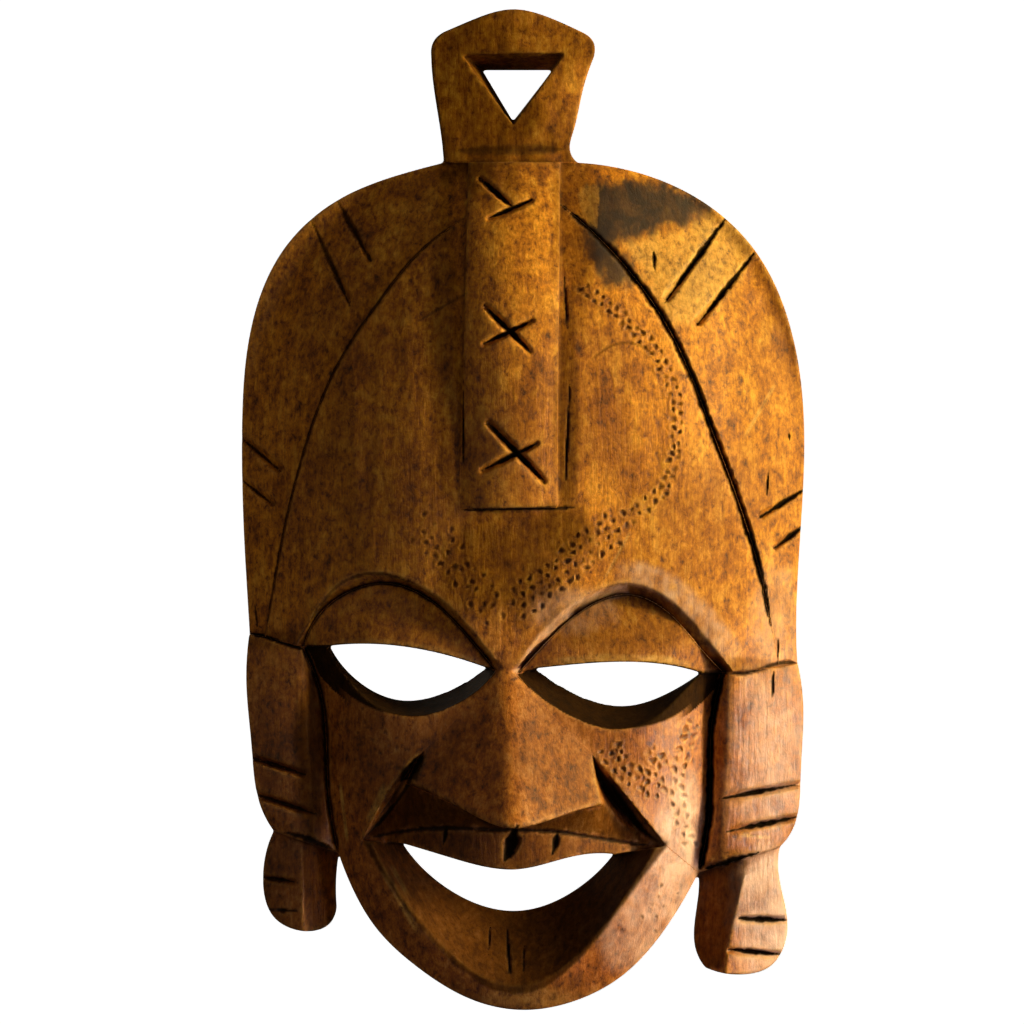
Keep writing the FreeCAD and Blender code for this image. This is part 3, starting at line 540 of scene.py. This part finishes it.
def carve_dots(skin):
    """Rows of pecked marks: down from the crown, across the forehead, and on the cheeks."""
    rng = np.random.default_rng(DOT_SEED)

    def rows(line, offsets, spacing, spread):
        points = evenly(line, spacing)
        ahead = np.gradient(points, axis=0)
        across = np.stack([-ahead[:, 1], ahead[:, 0]], axis=1)
        across /= np.linalg.norm(across, axis=1)[:, None]
        made = []
        for number, offset in enumerate(offsets):
            shifted = points + across * offset + ahead * 0.5 * (number % 2)
            made.append(shifted + rng.normal(0.0, spread, points.shape))
        return np.concatenate(made)

    skin.punch(rows(FORELOCK, (-1.4, 1.4), 3.4, 0.4), 1.1, 0.7, 0.55, rng)
    skin.punch(rows(SWEEP[:3], (-1.9, 1.9), 3.6, 0.5), 1.1, 0.7, 0.4, rng)
    skin.punch(rows(SWEEP[2:], (-5.4, -1.8, 1.8, 5.4), 4.1, 0.5), 1.1, 0.75, 0.35, rng)
    skin.punch(rows(SWEEP_LEFT, (-8.0, -3.5, 1.0), 4.6, 1.0), 1.1, 0.5, 0.4, rng)
    skin.punch(rows(CHEEK_ROW, (-3.0, 0.6, 4.0), 3.7, 0.4), 1.1, 0.75, 0.2, rng)
    skin.punch(rows(CHEEK_FALL, (-3.2, 0.4), 3.9, 0.4), 1.15, 0.75, 0.2, rng)
    skin.punch(rows([(52.0, -260.0), (57.0, -266.0)], (-1.5, 1.5), 3.2, 0.4), 1.1, 0.6, 0.2, rng)
    skin.punch(rows([(-62.0, -246.0), (-52.0, -258.0), (-45.0, -264.0)], (-5.0, -1.5, 2.0, 5.5), 4.0, 1.2),
               0.9, 0.25, 0.4, rng)
    skin.punch(rows([(60.0, -312.0), (52.0, -326.0)], (-3.0, 2.0), 5.0, 1.2), 0.9, 0.4, 0.4, rng)


def carve_surface(skin):
    """The unevenness a knife leaves on the front and the scallops a gouge leaves in the hollow."""
    front = np.clip(1.2 * skin.facing, 0.0, 1.0)
    skin.lift += 0.30 * front * value_noise(skin.co, (13.0, 40.0, 30.0), 11)
    skin.lift += 0.12 * front * value_noise(skin.co, (5.0, 20.0, 12.0), 12)
    back = smooth(skin.normal[:, 1], 0.1, 0.5) * smooth(skin.depth, 2.0, 6.0)
    near = np.flatnonzero(back > 0.0)
    across, tall = 9.0, 24.0
    column = np.floor(skin.x[near] / across)
    row = np.floor(skin.z[near] / tall)
    jitter = np.random.default_rng(21).uniform(-0.35, 0.35, (NOISE_CELLS, NOISE_CELLS, 2))
    scallop = np.full(len(near), -9.0)
    for i in (-1, 0, 1):
        for j in (-1, 0, 1):
            a = (column + i).astype(int)
            b = (row + j).astype(int)
            shift = jitter[a % NOISE_CELLS, b % NOISE_CELLS]
            dx = (skin.x[near] - (a + 0.5 + shift[:, 0]) * across) / across
            dz = (skin.z[near] - (b + 0.5 + shift[:, 1]) * tall) / tall
            scallop = np.maximum(scallop, 1.0 - 2.2 * (dx * dx + dz * dz))
    skin.lift[near] += 1.1 * back[near] * np.clip(scallop, 0.0, 1.0)


def paint_eyes(skin):
    """Painted shade, near black, on the walls of the two eye openings, up to a crisp front rim."""
    steep = 1.0 - smooth(-skin.normal[:, 1], 0.72, 0.86)
    for top, front in ((EYE_LEFT_TOP, EYE_LEFT_FRONT), (EYE_RIGHT_TOP, EYE_RIGHT_FRONT)):
        ring = loop_of([top, turned(front), [front[0], top[0]]])
        near, away, _ = skin.along(np.concatenate([ring, ring[:1]]))
        signed = np.where(inside(skin.x[near], skin.z[near], ring), away, -away)
        wall = np.maximum(steep[near] * (signed > -1.5), smooth(signed, 0.2, 1.2))
        skin.mark("cut", near, 0.95 * wall)


def paint_shade(skin):
    """Painted shade, in part a darker finish: in the mouth, under the nose, over the lids, on the ear drop's
    facet and in soft patches all over.
    """
    # painted shade under the nose and over the lip
    to_lip = straight(NOSE_BASE[0], (-56.0, -293.0))
    from_lip = straight(LIP_LINE[-1], NOSE_BASE[-1])
    skin.paint_patch("shade", [turned(NOSE_BASE), *to_lip, LIP_LINE, *from_lip], 1.6, 1.0, 39)
    skin.paint_patch("shade", [LIP_LINE, turned(MOUTH_TOP)], 1.0, 0.65, 41)
    skin.paint_patch("shade", MOUTH_SCOOP, 0.8, 0.95, 45, ragged=0.25)
    # painted shadow in the mouth's scoop, darkest over its right half
    skin.paint_patch("cut", MOUTH_SCOOP, 0.8, 0.3, 45, ragged=0.25)
    skin.paint_patch("cut", SCOOP_DARKEST, 1.0, 0.4, 49, ragged=0.4)
    # painted shade on the outer part of the right brow bevel and on the ear drop's inner facet
    skin.paint_patch("shade", [BROW_RIGHT[3:], turned(LID_ARC_RIGHT[3:])], 1.0, 0.95, 47, ragged=0.4)
    skin.paint_patch("shade", [DROP_EDGE, turned(DROP_INNER)], 0.8, 0.6, 61, ragged=0.2)
    for centre, radii, amount in SHADED:
        skin.wash("shade", centre, radii, amount, int(radii[0] * 7 + radii[1]))


def paint_wear_and_highlights(skin):
    """Burnt stain at the crown, wood rubbed through in patches, and paler wood with painted highlights on
    the right side, over the right brow and along the lid rims.
    """
    skin.paint_patch("stain", [[*STAIN, STAIN[0]]], 3.2, 1.0, 31, ragged=1.5)
    skin.paint_patch("bare_and_highlight", [[*BARE_PATCH, BARE_PATCH[0]]], 3.0, 0.7, 33)
    skin.paint_patch("bare_and_highlight", [[*BARE_CHIP, BARE_CHIP[0]]], 0.7, 0.6, 35)
    skin.marks["stain"] *= 1.0 - skin.marks["bare_and_highlight"] * inside(skin.x, skin.z, BARE_CHIP)
    # paler wood with painted highlight on the right ear, drop, cheek, jaw and brow
    for centre, radii, amount in PALE:
        skin.wash("pale", centre, radii, amount, int(radii[0] * 5 + radii[1]))
    skin.wash("bare_and_highlight", (8.0, -354.0), (18.0, 4.0), 0.3, 57)
    # painted highlight on the right brow bevel and above its edge
    skin.paint_patch("pale", [BROW_RIGHT[:4], turned(LID_ARC_RIGHT[:4])], 1.0, 0.9, 63, ragged=0.3)
    skin.rub_and_highlight(smooth_curve(BROW_HIGHLIGHT), 7.0, 0.75, "pale")
    # painted highlight along the rims of the lids
    skin.rub_and_highlight(np.array(EYE_RIGHT_TOP) + (0.0, 1.6), 2.4, 0.8)
    skin.rub_and_highlight(np.array(EYE_LEFT_TOP) + (0.0, 1.2), 1.6, 0.35)


def carve(obj):
    skin = Skin(obj)
    carve_face(skin)
    carve_cuts(skin)
    carve_dots(skin)
    carve_surface(skin)
    paint_eyes(skin)
    paint_shade(skin)
    paint_wear_and_highlights(skin)
    skin.settle()
    skin.write(obj)


# ---- the skin and its pieces ----

def apply_modifiers(obj):
    view = bpy.context.evaluated_depsgraph_get()
    mesh = bpy.data.meshes.new_from_object(obj.evaluated_get(view))
    obj.modifiers.clear()
    old = obj.data
    obj.data = mesh
    bpy.data.meshes.remove(old)


def joined_skin():
    """Every packed element in one closed skin, with no walls left between them."""
    bm = bmesh.new()
    for name in sorted(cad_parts):
        bm.from_mesh(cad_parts[name].data)
    bmesh.ops.remove_doubles(bm, verts=bm.verts, dist=1e-7)
    rough = bpy.data.meshes.new("rough")
    bm.to_mesh(rough)
    bm.free()
    obj = bpy.data.objects.new("skin", rough)
    bpy.context.scene.collection.objects.link(obj)
    remesh = obj.modifiers.new("remesh", "REMESH")
    remesh.mode = "VOXEL"
    remesh.voxel_size = VOXEL
    relax = obj.modifiers.new("relax", "SMOOTH")
    relax.factor = 0.5
    relax.iterations = SKIN_SMOOTHING
    apply_modifiers(obj)
    return obj


WIDE = 150.0        # the cutters reach this far past the outline, so that they never trim it
LEFT_WAIST = (-91.2, -291.0)
RIGHT_WAIST = (102.0, -297.0)
LEFT_GAP = [(-66.6, -299.3), (-65.3, -310.0), (-62.0, -325.0), (-62.0, -380.0)]
RIGHT_GAP = [(70.8, -307.0), (68.5, -315.0), (64.5, -325.0), (64.0, -380.0)]
CREST_CORNER_LEFT = [(-26.5, -36.0), (-70.0, -20.0)]
CREST_CORNER_RIGHT = [(24.5, -36.0), (70.0, -20.0)]
HEAD_CORNER_LEFT = (-100.6, -216.0)
HEAD_CORNER_RIGHT = (108.6, -227.0)


def straight(*points):
    """Runs of straight lines through the points."""
    return [[a, b] for a, b in zip(points[:-1], points[1:])]


def turned(points):
    return points[::-1]


def regions():
    """The outline that parts each element from the rest. Curves follow carved lines."""
    return {
        "crest": straight(*CREST_CORNER_LEFT, (-70.0, 60.0), (70.0, 60.0), *turned(CREST_CORNER_RIGHT)),
        "forehead_strip": straight(RIDGE_TOP_LEFT, RIDGE_TOP_RIGHT, ARCH_RIGHT[0], RIDGE_FOOT_RIGHT,
                                   RIDGE_FOOT_LEFT, ARCH_LEFT[0]),
        "left_headdress_band": [*straight(*turned(CREST_CORNER_LEFT), RIDGE_TOP_LEFT, ARCH_LEFT[0]),
                                ARCH_LEFT, *straight(ARCH_LEFT[-1], HEAD_CORNER_LEFT,
                                                     (-WIDE, -216.0), (-WIDE, -20.0))],
        "right_headdress_band": [*straight(*turned(CREST_CORNER_RIGHT), RIDGE_TOP_RIGHT, ARCH_RIGHT[0]),
                                 ARCH_RIGHT, *straight(ARCH_RIGHT[-1], HEAD_CORNER_RIGHT,
                                                       (WIDE, -227.0), (WIDE, -20.0))],
        "forehead_panel": [turned(ARCH_LEFT), *straight(ARCH_LEFT[0], RIDGE_FOOT_LEFT, RIDGE_FOOT_RIGHT,
                                                        ARCH_RIGHT[0]),
                           ARCH_RIGHT, turned(LID_ARC_RIGHT), turned(LID_ARC_LEFT)],
        "left_eyelid": [LID_ARC_LEFT, turned(EYE_LEFT_TOP)],
        "right_eyelid": [LID_ARC_RIGHT, turned(EYE_RIGHT_TOP)],
        "nose": [NOSE_RIGHT, NOSE_RIGHT_WING, turned(NOSE_BASE), turned(NOSE_LEFT_WING), turned(NOSE_LEFT)],
        "left_cheek": [EYE_LEFT_TOP, NOSE_LEFT, FOLD_LEFT, turned(EAR_GROOVE_LEFT)],
        "right_cheek": [turned(EYE_RIGHT_TOP), NOSE_RIGHT, FOLD_RIGHT, turned(EAR_GROOVE_RIGHT)],
        "upper_lip": [NOSE_LEFT_WING, NOSE_BASE, turned(NOSE_RIGHT_WING), FOLD_RIGHT, turned(MOUTH_TOP),
                      turned(FOLD_LEFT)],
        "chin": [MOUTH_TOP, *straight(FOLD_RIGHT[-1], *RIGHT_GAP), *straight(*turned(LEFT_GAP)),
                 [LEFT_GAP[0], FOLD_LEFT[-1]]],
        "left_ear": [[HEAD_CORNER_LEFT, ARCH_LEFT[-1]], EAR_GROOVE_LEFT,
                     *straight(LEFT_GAP[0], LEFT_WAIST, (-WIDE, -291.0), (-WIDE, -216.0))],
        "right_ear": [[HEAD_CORNER_RIGHT, ARCH_RIGHT[-1]], EAR_GROOVE_RIGHT,
                      *straight(RIGHT_GAP[0], RIGHT_WAIST, (WIDE, -297.0), (WIDE, -227.0))],
        "left_ear_drop": straight(LEFT_WAIST, *LEFT_GAP, (-WIDE, -380.0), (-WIDE, -291.0), LEFT_WAIST),
        "right_ear_drop": straight(RIGHT_WAIST, *RIGHT_GAP, (WIDE, -380.0), (WIDE, -297.0), RIGHT_WAIST),
    }


def cutter(name, outline):
    """A closed upright-walled block over an outline, from in front of the mask to behind it."""
    near = [(x * MM, -0.12, z * MM) for x, z in outline]
    far = [(x * MM, 0.02, z * MM) for x, z in outline]
    count = len(outline)
    sides = [(i, (i + 1) % count, count + (i + 1) % count, count + i) for i in range(count)]
    faces = [tuple(range(count))[::-1], tuple(range(count, 2 * count))] + sides
    mesh = bpy.data.meshes.new(name)
    mesh.from_pydata(near + far, [], faces)
    bm = bmesh.new()
    bm.from_mesh(mesh)
    bmesh.ops.recalc_face_normals(bm, faces=bm.faces)
    bmesh.ops.triangulate(bm, faces=bm.faces)
    bm.to_mesh(mesh)
    bm.free()
    obj = bpy.data.objects.new(name, mesh)
    bpy.context.scene.collection.objects.link(obj)
    return obj


def parted(skin, name, outline):
    """The part of the skin inside an outline, as its own closed piece."""
    piece = bpy.data.objects.new("carved_" + name, skin.data.copy())
    bpy.context.scene.collection.objects.link(piece)
    block = cutter("cutter_" + name, outline)
    cut = piece.modifiers.new("part", "BOOLEAN")
    cut.operation = "INTERSECT"
    cut.solver = "MANIFOLD"
    cut.object = block
    apply_modifiers(piece)
    bpy.data.objects.remove(block)
    piece.data.shade_smooth()
    piece.data.set_sharp_from_angle(angle=math.radians(50.0))
    return piece


def build_pieces(material):
    skin = joined_skin()
    carve(skin)
    for name, runs in regions().items():
        piece = parted(skin, name, loop_of(runs))
        piece.data.materials.clear()
        piece.data.materials.append(material)
        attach(piece, "root")
        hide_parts(name)
    bpy.data.objects.remove(skin)


# ---- wood ----

class Nodes:
    """A short way to add and join shader nodes."""

    def __init__(self, material):
        material.use_nodes = True
        self.tree = material.node_tree
        self.shader = self.tree.nodes["Principled BSDF"]

    def add(self, kind, **settings):
        node = self.tree.nodes.new(kind)
        for name, value in settings.items():
            setattr(node, name, value)
        return node

    def join(self, source, target):
        self.tree.links.new(source, target)

    def maths(self, operation, a, b, clamp=False):
        node = self.add("ShaderNodeMath", operation=operation, use_clamp=clamp)
        for socket, value in zip(node.inputs, (a, b)):
            if isinstance(value, (int, float)):
                socket.default_value = value
            else:
                self.join(value, socket)
        return node.outputs[0]

    def times(self, a, b):
        return self.maths("MULTIPLY", a, b)

    def plus(self, a, b):
        return self.maths("ADD", a, b)

    def noise(self, scale, stretch, detail, rough, distort=0.0):
        """Noise in the mask's own frame; scale is cells per metre and stretch a factor on each axis."""
        place = self.add("ShaderNodeTexCoord")
        mapping = self.add("ShaderNodeMapping")
        mapping.inputs["Scale"].default_value = stretch
        self.join(place.outputs["Object"], mapping.inputs["Vector"])
        noise = self.add("ShaderNodeTexNoise")
        noise.inputs["Scale"].default_value = scale
        noise.inputs["Detail"].default_value = detail
        noise.inputs["Roughness"].default_value = rough
        noise.inputs["Distortion"].default_value = distort
        self.join(mapping.outputs["Vector"], noise.inputs["Vector"])
        return noise.outputs["Fac"]

    def ramp(self, source, *stops):
        node = self.add("ShaderNodeValToRGB")
        elements = node.color_ramp.elements
        while len(elements) < len(stops):
            elements.new(0.5)
        for element, (place, colour) in zip(elements, stops):
            element.position = place
            element.color = (*colour, 1.0)
        self.join(source, node.inputs["Fac"])
        return node.outputs["Color"]

    def grey(self, source, low, high):
        """0 at low and 1 at high, whichever of the two is larger."""
        node = self.add("ShaderNodeMapRange", clamp=True)
        self.join(source, node.inputs["Value"])
        node.inputs["From Min"].default_value = low
        node.inputs["From Max"].default_value = high
        return node.outputs["Result"]

    def mix(self, share, under, over, blend="MIX"):
        node = self.add("ShaderNodeMix", data_type="RGBA", blend_type=blend)
        for socket, value in zip((node.inputs[0], node.inputs[6], node.inputs[7]), (share, under, over)):
            if isinstance(value, (int, float)):
                socket.default_value = value
            elif isinstance(value, tuple):
                socket.default_value = (*value, 1.0)
            else:
                self.join(value, socket)
        return node.outputs[2]

    def attribute(self, name):
        return self.add("ShaderNodeAttribute", attribute_name=name).outputs["Fac"]


class Grain:
    """The noises that the wood is made of: two of long fibres and three of blotches, fine to broad."""

    def __init__(self, nodes):
        self.fibre = nodes.noise(1300.0, (1.0, 1.0, 0.11), 3.0, 0.6)
        self.streak = nodes.noise(300.0, (1.0, 1.0, 0.15), 6.0, 0.62, 0.5)
        self.mottle = nodes.noise(420.0, (1.0, 1.0, 0.7), 6.0, 0.74, 0.3)
        self.blotch = nodes.noise(110.0, (1.0, 1.0, 0.7), 6.0, 0.68, 0.5)
        self.patina = nodes.noise(28.0, (1.0, 1.0, 0.6), 4.0, 0.6, 0.3)


def lower_face(nodes, grain):
    """1 on the face below the eyes, where the wood is redder, and 0 on the head."""
    place = nodes.add("ShaderNodeTexCoord")
    height = nodes.add("ShaderNodeSeparateXYZ")
    nodes.join(place.outputs["Object"], height.inputs["Vector"])
    down = nodes.maths("SUBTRACT", nodes.times(grain.patina, 0.06), height.outputs["Z"])
    return nodes.grey(down, 0.235, 0.275)


def wood_colour(nodes, grain, face):
    """Golden brown wood, blotched, streaked and specked."""
    tone = nodes.plus(nodes.times(grain.blotch, 0.40), nodes.times(grain.streak, 0.20))
    tone = nodes.plus(tone, nodes.times(grain.mottle, 0.40))
    base = nodes.ramp(tone, (0.37, (0.15, 0.040, 0.003)), (0.45, (0.43, 0.130, 0.005)),
                      (0.52, (0.68, 0.240, 0.008)), (0.62, (0.90, 0.42, 0.045)))
    redder = nodes.mix(1.0, base, (0.62, 0.52, 1.25), "MULTIPLY")
    base = nodes.mix(face, base, redder)
    cloud = nodes.ramp(grain.patina, (0.36, (0.55, 0.48, 0.45)), (0.50, (0.92, 0.90, 0.90)),
                       (0.60, (1.0, 1.0, 1.0)))
    base = nodes.mix(0.8, base, cloud, "MULTIPLY")
    lines = nodes.ramp(grain.fibre, (0.33, (0.50, 0.42, 0.40)), (0.50, (1.0, 1.0, 1.0)),
                       (0.66, (1.15, 1.15, 1.10)))
    base = nodes.mix(0.45, base, lines, "MULTIPLY")
    specks = nodes.ramp(grain.mottle, (0.32, (0.22, 0.17, 0.15)), (0.44, (0.92, 0.89, 0.86)),
                        (0.62, (1.20, 1.22, 1.10)))
    return nodes.mix(0.9, base, specks, "MULTIPLY")


def finished_and_shaded_colour(nodes, grain, base):
    """Wear and pale patches with painted highlights over the wood, then painted shade with some darker
    finish, grime, burnt stain, and cuts with painted shadow.

    Each goes on where its attribute says, at a strength; the noise, if there is one, breaks it up.
    """
    for name, strength, colour, noise in (
            # raised edges and rubbed lines: wear, with painted highlight
            ("wear_and_highlight", 0.5, (0.80, 0.42, 0.10), (grain.mottle, 0.35, 0.6)),
            ("bare_and_highlight", 0.8, (0.84, 0.50, 0.12), (grain.mottle, 0.28, 0.62)),
            # pale wood and painted highlight
            ("pale", 0.8, (0.86, 0.56, 0.46), (grain.blotch, 0.25, 0.6)),
            # painted shade, in part a darker finish
            ("shade", 0.75, (0.055, 0.020, 0.004), None),
            ("shade", 0.5, (0.030, 0.012, 0.004), (grain.streak, 0.75, 0.25)),
            ("grime", 0.8, (0.035, 0.014, 0.004), None),
            ("stain", 0.94, (0.045, 0.019, 0.012), None),
            ("stain", 0.85, (0.022, 0.011, 0.011), (grain.blotch, 0.60, 0.42)),
            # dark stain in cuts, and painted shadow in the wedge, eyes and mouth
            ("cut", 1.0, (0.009, 0.005, 0.002), None)):
        share = nodes.attribute(name)
        if noise:
            share = nodes.times(share, nodes.grey(*noise))
        base = nodes.mix(nodes.times(share, strength), base, colour)
    return base


def polish(nodes, grain, face):
    """A waxed sheen, glossier on the face and dull in cuts and under the painted shade and darker finish."""
    rough = nodes.plus(nodes.times(grain.mottle, 0.35), 0.40)
    rough = nodes.maths("SUBTRACT", rough, nodes.times(face, 0.17))
    dull = nodes.maths("MAXIMUM", nodes.attribute("cut"), nodes.attribute("shade"))
    rough = nodes.maths("ADD", rough, nodes.times(dull, 0.4), clamp=True)
    nodes.join(rough, nodes.shader.inputs["Roughness"])
    gloss = nodes.maths("SUBTRACT", 0.38, nodes.times(dull, 0.36))
    nodes.join(gloss, nodes.shader.inputs["Specular IOR Level"])


def pores(nodes, grain):
    """The fine relief of the grain."""
    relief = nodes.plus(nodes.times(grain.fibre, 0.5), nodes.times(grain.streak, 0.7))
    relief = nodes.plus(relief, nodes.times(grain.mottle, 0.7))
    bump = nodes.add("ShaderNodeBump")
    bump.inputs["Strength"].default_value = 0.45
    bump.inputs["Distance"].default_value = 0.0006
    nodes.join(relief, bump.inputs["Height"])
    nodes.join(bump.outputs["Normal"], nodes.shader.inputs["Normal"])


def wood():
    """Stained and waxed hardwood: upright grain, blotchy patina, edges paler with wear and painted
    highlight, painted shade and dark cuts.
    """
    material = bpy.data.materials.new("carved_wood")
    nodes = Nodes(material)
    grain = Grain(nodes)
    face = lower_face(nodes, grain)
    base = wood_colour(nodes, grain, face)
    nodes.join(finished_and_shaded_colour(nodes, grain, base), nodes.shader.inputs["Base Color"])
    polish(nodes, grain, face)
    pores(nodes, grain)
    return material


# ---- stage ----

def plain(name, colour, strength):
    """A matt colour that glows with some of its own light."""
    material = bpy.data.materials.new(name)
    material.use_nodes = True
    shader = material.node_tree.nodes["Principled BSDF"]
    shader.inputs["Base Color"].default_value = (*colour, 1.0)
    shader.inputs["Roughness"].default_value = 0.9
    shader.inputs["Emission Color"].default_value = (*colour, 1.0)
    shader.inputs["Emission Strength"].default_value = strength
    return material


def sheet_of(name, corners, material):
    """A flat sheet of the stage, which is seen but neither lights nor shades the mask."""
    mesh = bpy.data.meshes.new(name)
    mesh.from_pydata(corners, [], [(0, 1, 2, 3)])
    mesh.materials.append(material)
    obj = bpy.data.objects.new(name, mesh)
    bpy.context.scene.collection.objects.link(obj)
    obj.visible_diffuse = False
    obj.visible_glossy = False
    obj.visible_shadow = False


def area_light(name, place, target, size, power, colour, spread=180.0):
    data = bpy.data.lights.new(name, "AREA")
    data.spread = math.radians(spread)
    data.shape = "RECTANGLE"
    data.size, data.size_y = size
    data.energy = power
    data.color = colour
    obj = bpy.data.objects.new(name, data)
    obj.location = place
    obj.rotation_euler = (Vector(target) - Vector(place)).to_track_quat("-Z", "Y").to_euler()
    bpy.context.scene.collection.objects.link(obj)
    return obj


def build_stage():
    """A pale floor, four walls that enclose mask and camera, and the lights; the key is at the right."""
    half = 7.0
    floor = -0.9
    top = 6.0
    corners = [(-half, -half), (half, -half), (half, half), (-half, half)]
    sheet_of("floor", [(x, y, floor) for x, y in corners], plain("pale_floor", (0.86, 0.85, 0.83), 0.75))
    bright = plain("bright_backdrop", (1.0, 1.0, 1.0), 1.0)
    for number, (start, end) in enumerate(zip(corners, corners[1:] + corners[:1])):
        sheet_of("backdrop_%d" % number,
                 [(*start, floor), (*end, floor), (*end, top), (*start, top)], bright)
    middle = (0.0, -0.03, -0.17)
    area_light("key", (1.35, -0.42, 0.15), middle, (0.35, 0.5), 35.0, (1.0, 0.87, 0.36))
    area_light("fill", (-0.6, -1.9, 0.1), middle, (1.2, 1.2), 3.3, (1.0, 0.78, 0.40))
    area_light("low_side", (1.05, -0.36, -0.46), (0.11, -0.03, -0.31), (0.25, 0.30), 0.10,
               (1.0, 0.87, 0.90), spread=20.0)
    sheen = area_light("sheen", (0.75, -0.62, -0.34), (0.10, -0.03, -0.29), (0.25, 0.40), 0.28,
                       (1.0, 0.92, 0.94), spread=26.0)
    sheen.visible_diffuse = False
    area_light("behind", (-0.9, 1.7, 0.5), middle, (1.2, 1.2), 16.0, (1.0, 0.90, 0.72))
    world = bpy.data.worlds.new("studio")
    world.use_nodes = True
    world.node_tree.nodes["Background"].inputs["Color"].default_value = (1.0, 1.0, 1.0, 1.0)
    world.node_tree.nodes["Background"].inputs["Strength"].default_value = 0.04
    bpy.context.scene.world = world


def build_camera():
    """A long lens square to the face. The picture is 390 mm wide at half the mask's depth."""
    data = bpy.data.cameras.new("camera")
    distance = 5.0
    half_depth = 0.036
    picture_width = 0.3899
    data.sensor_width = 36.0
    data.lens = data.sensor_width * (distance - half_depth) / picture_width
    data.clip_end = 50.0
    obj = bpy.data.objects.new("camera", data)
    obj.location = (-0.0004, -distance, -0.1694)
    obj.rotation_euler = (math.radians(90.0), 0.0, 0.0)
    bpy.context.scene.collection.objects.link(obj)
    bpy.context.scene.camera = obj
    bpy.context.scene.view_settings.view_transform = "Standard"


build_camera()
build_stage()
build_pieces(wood())
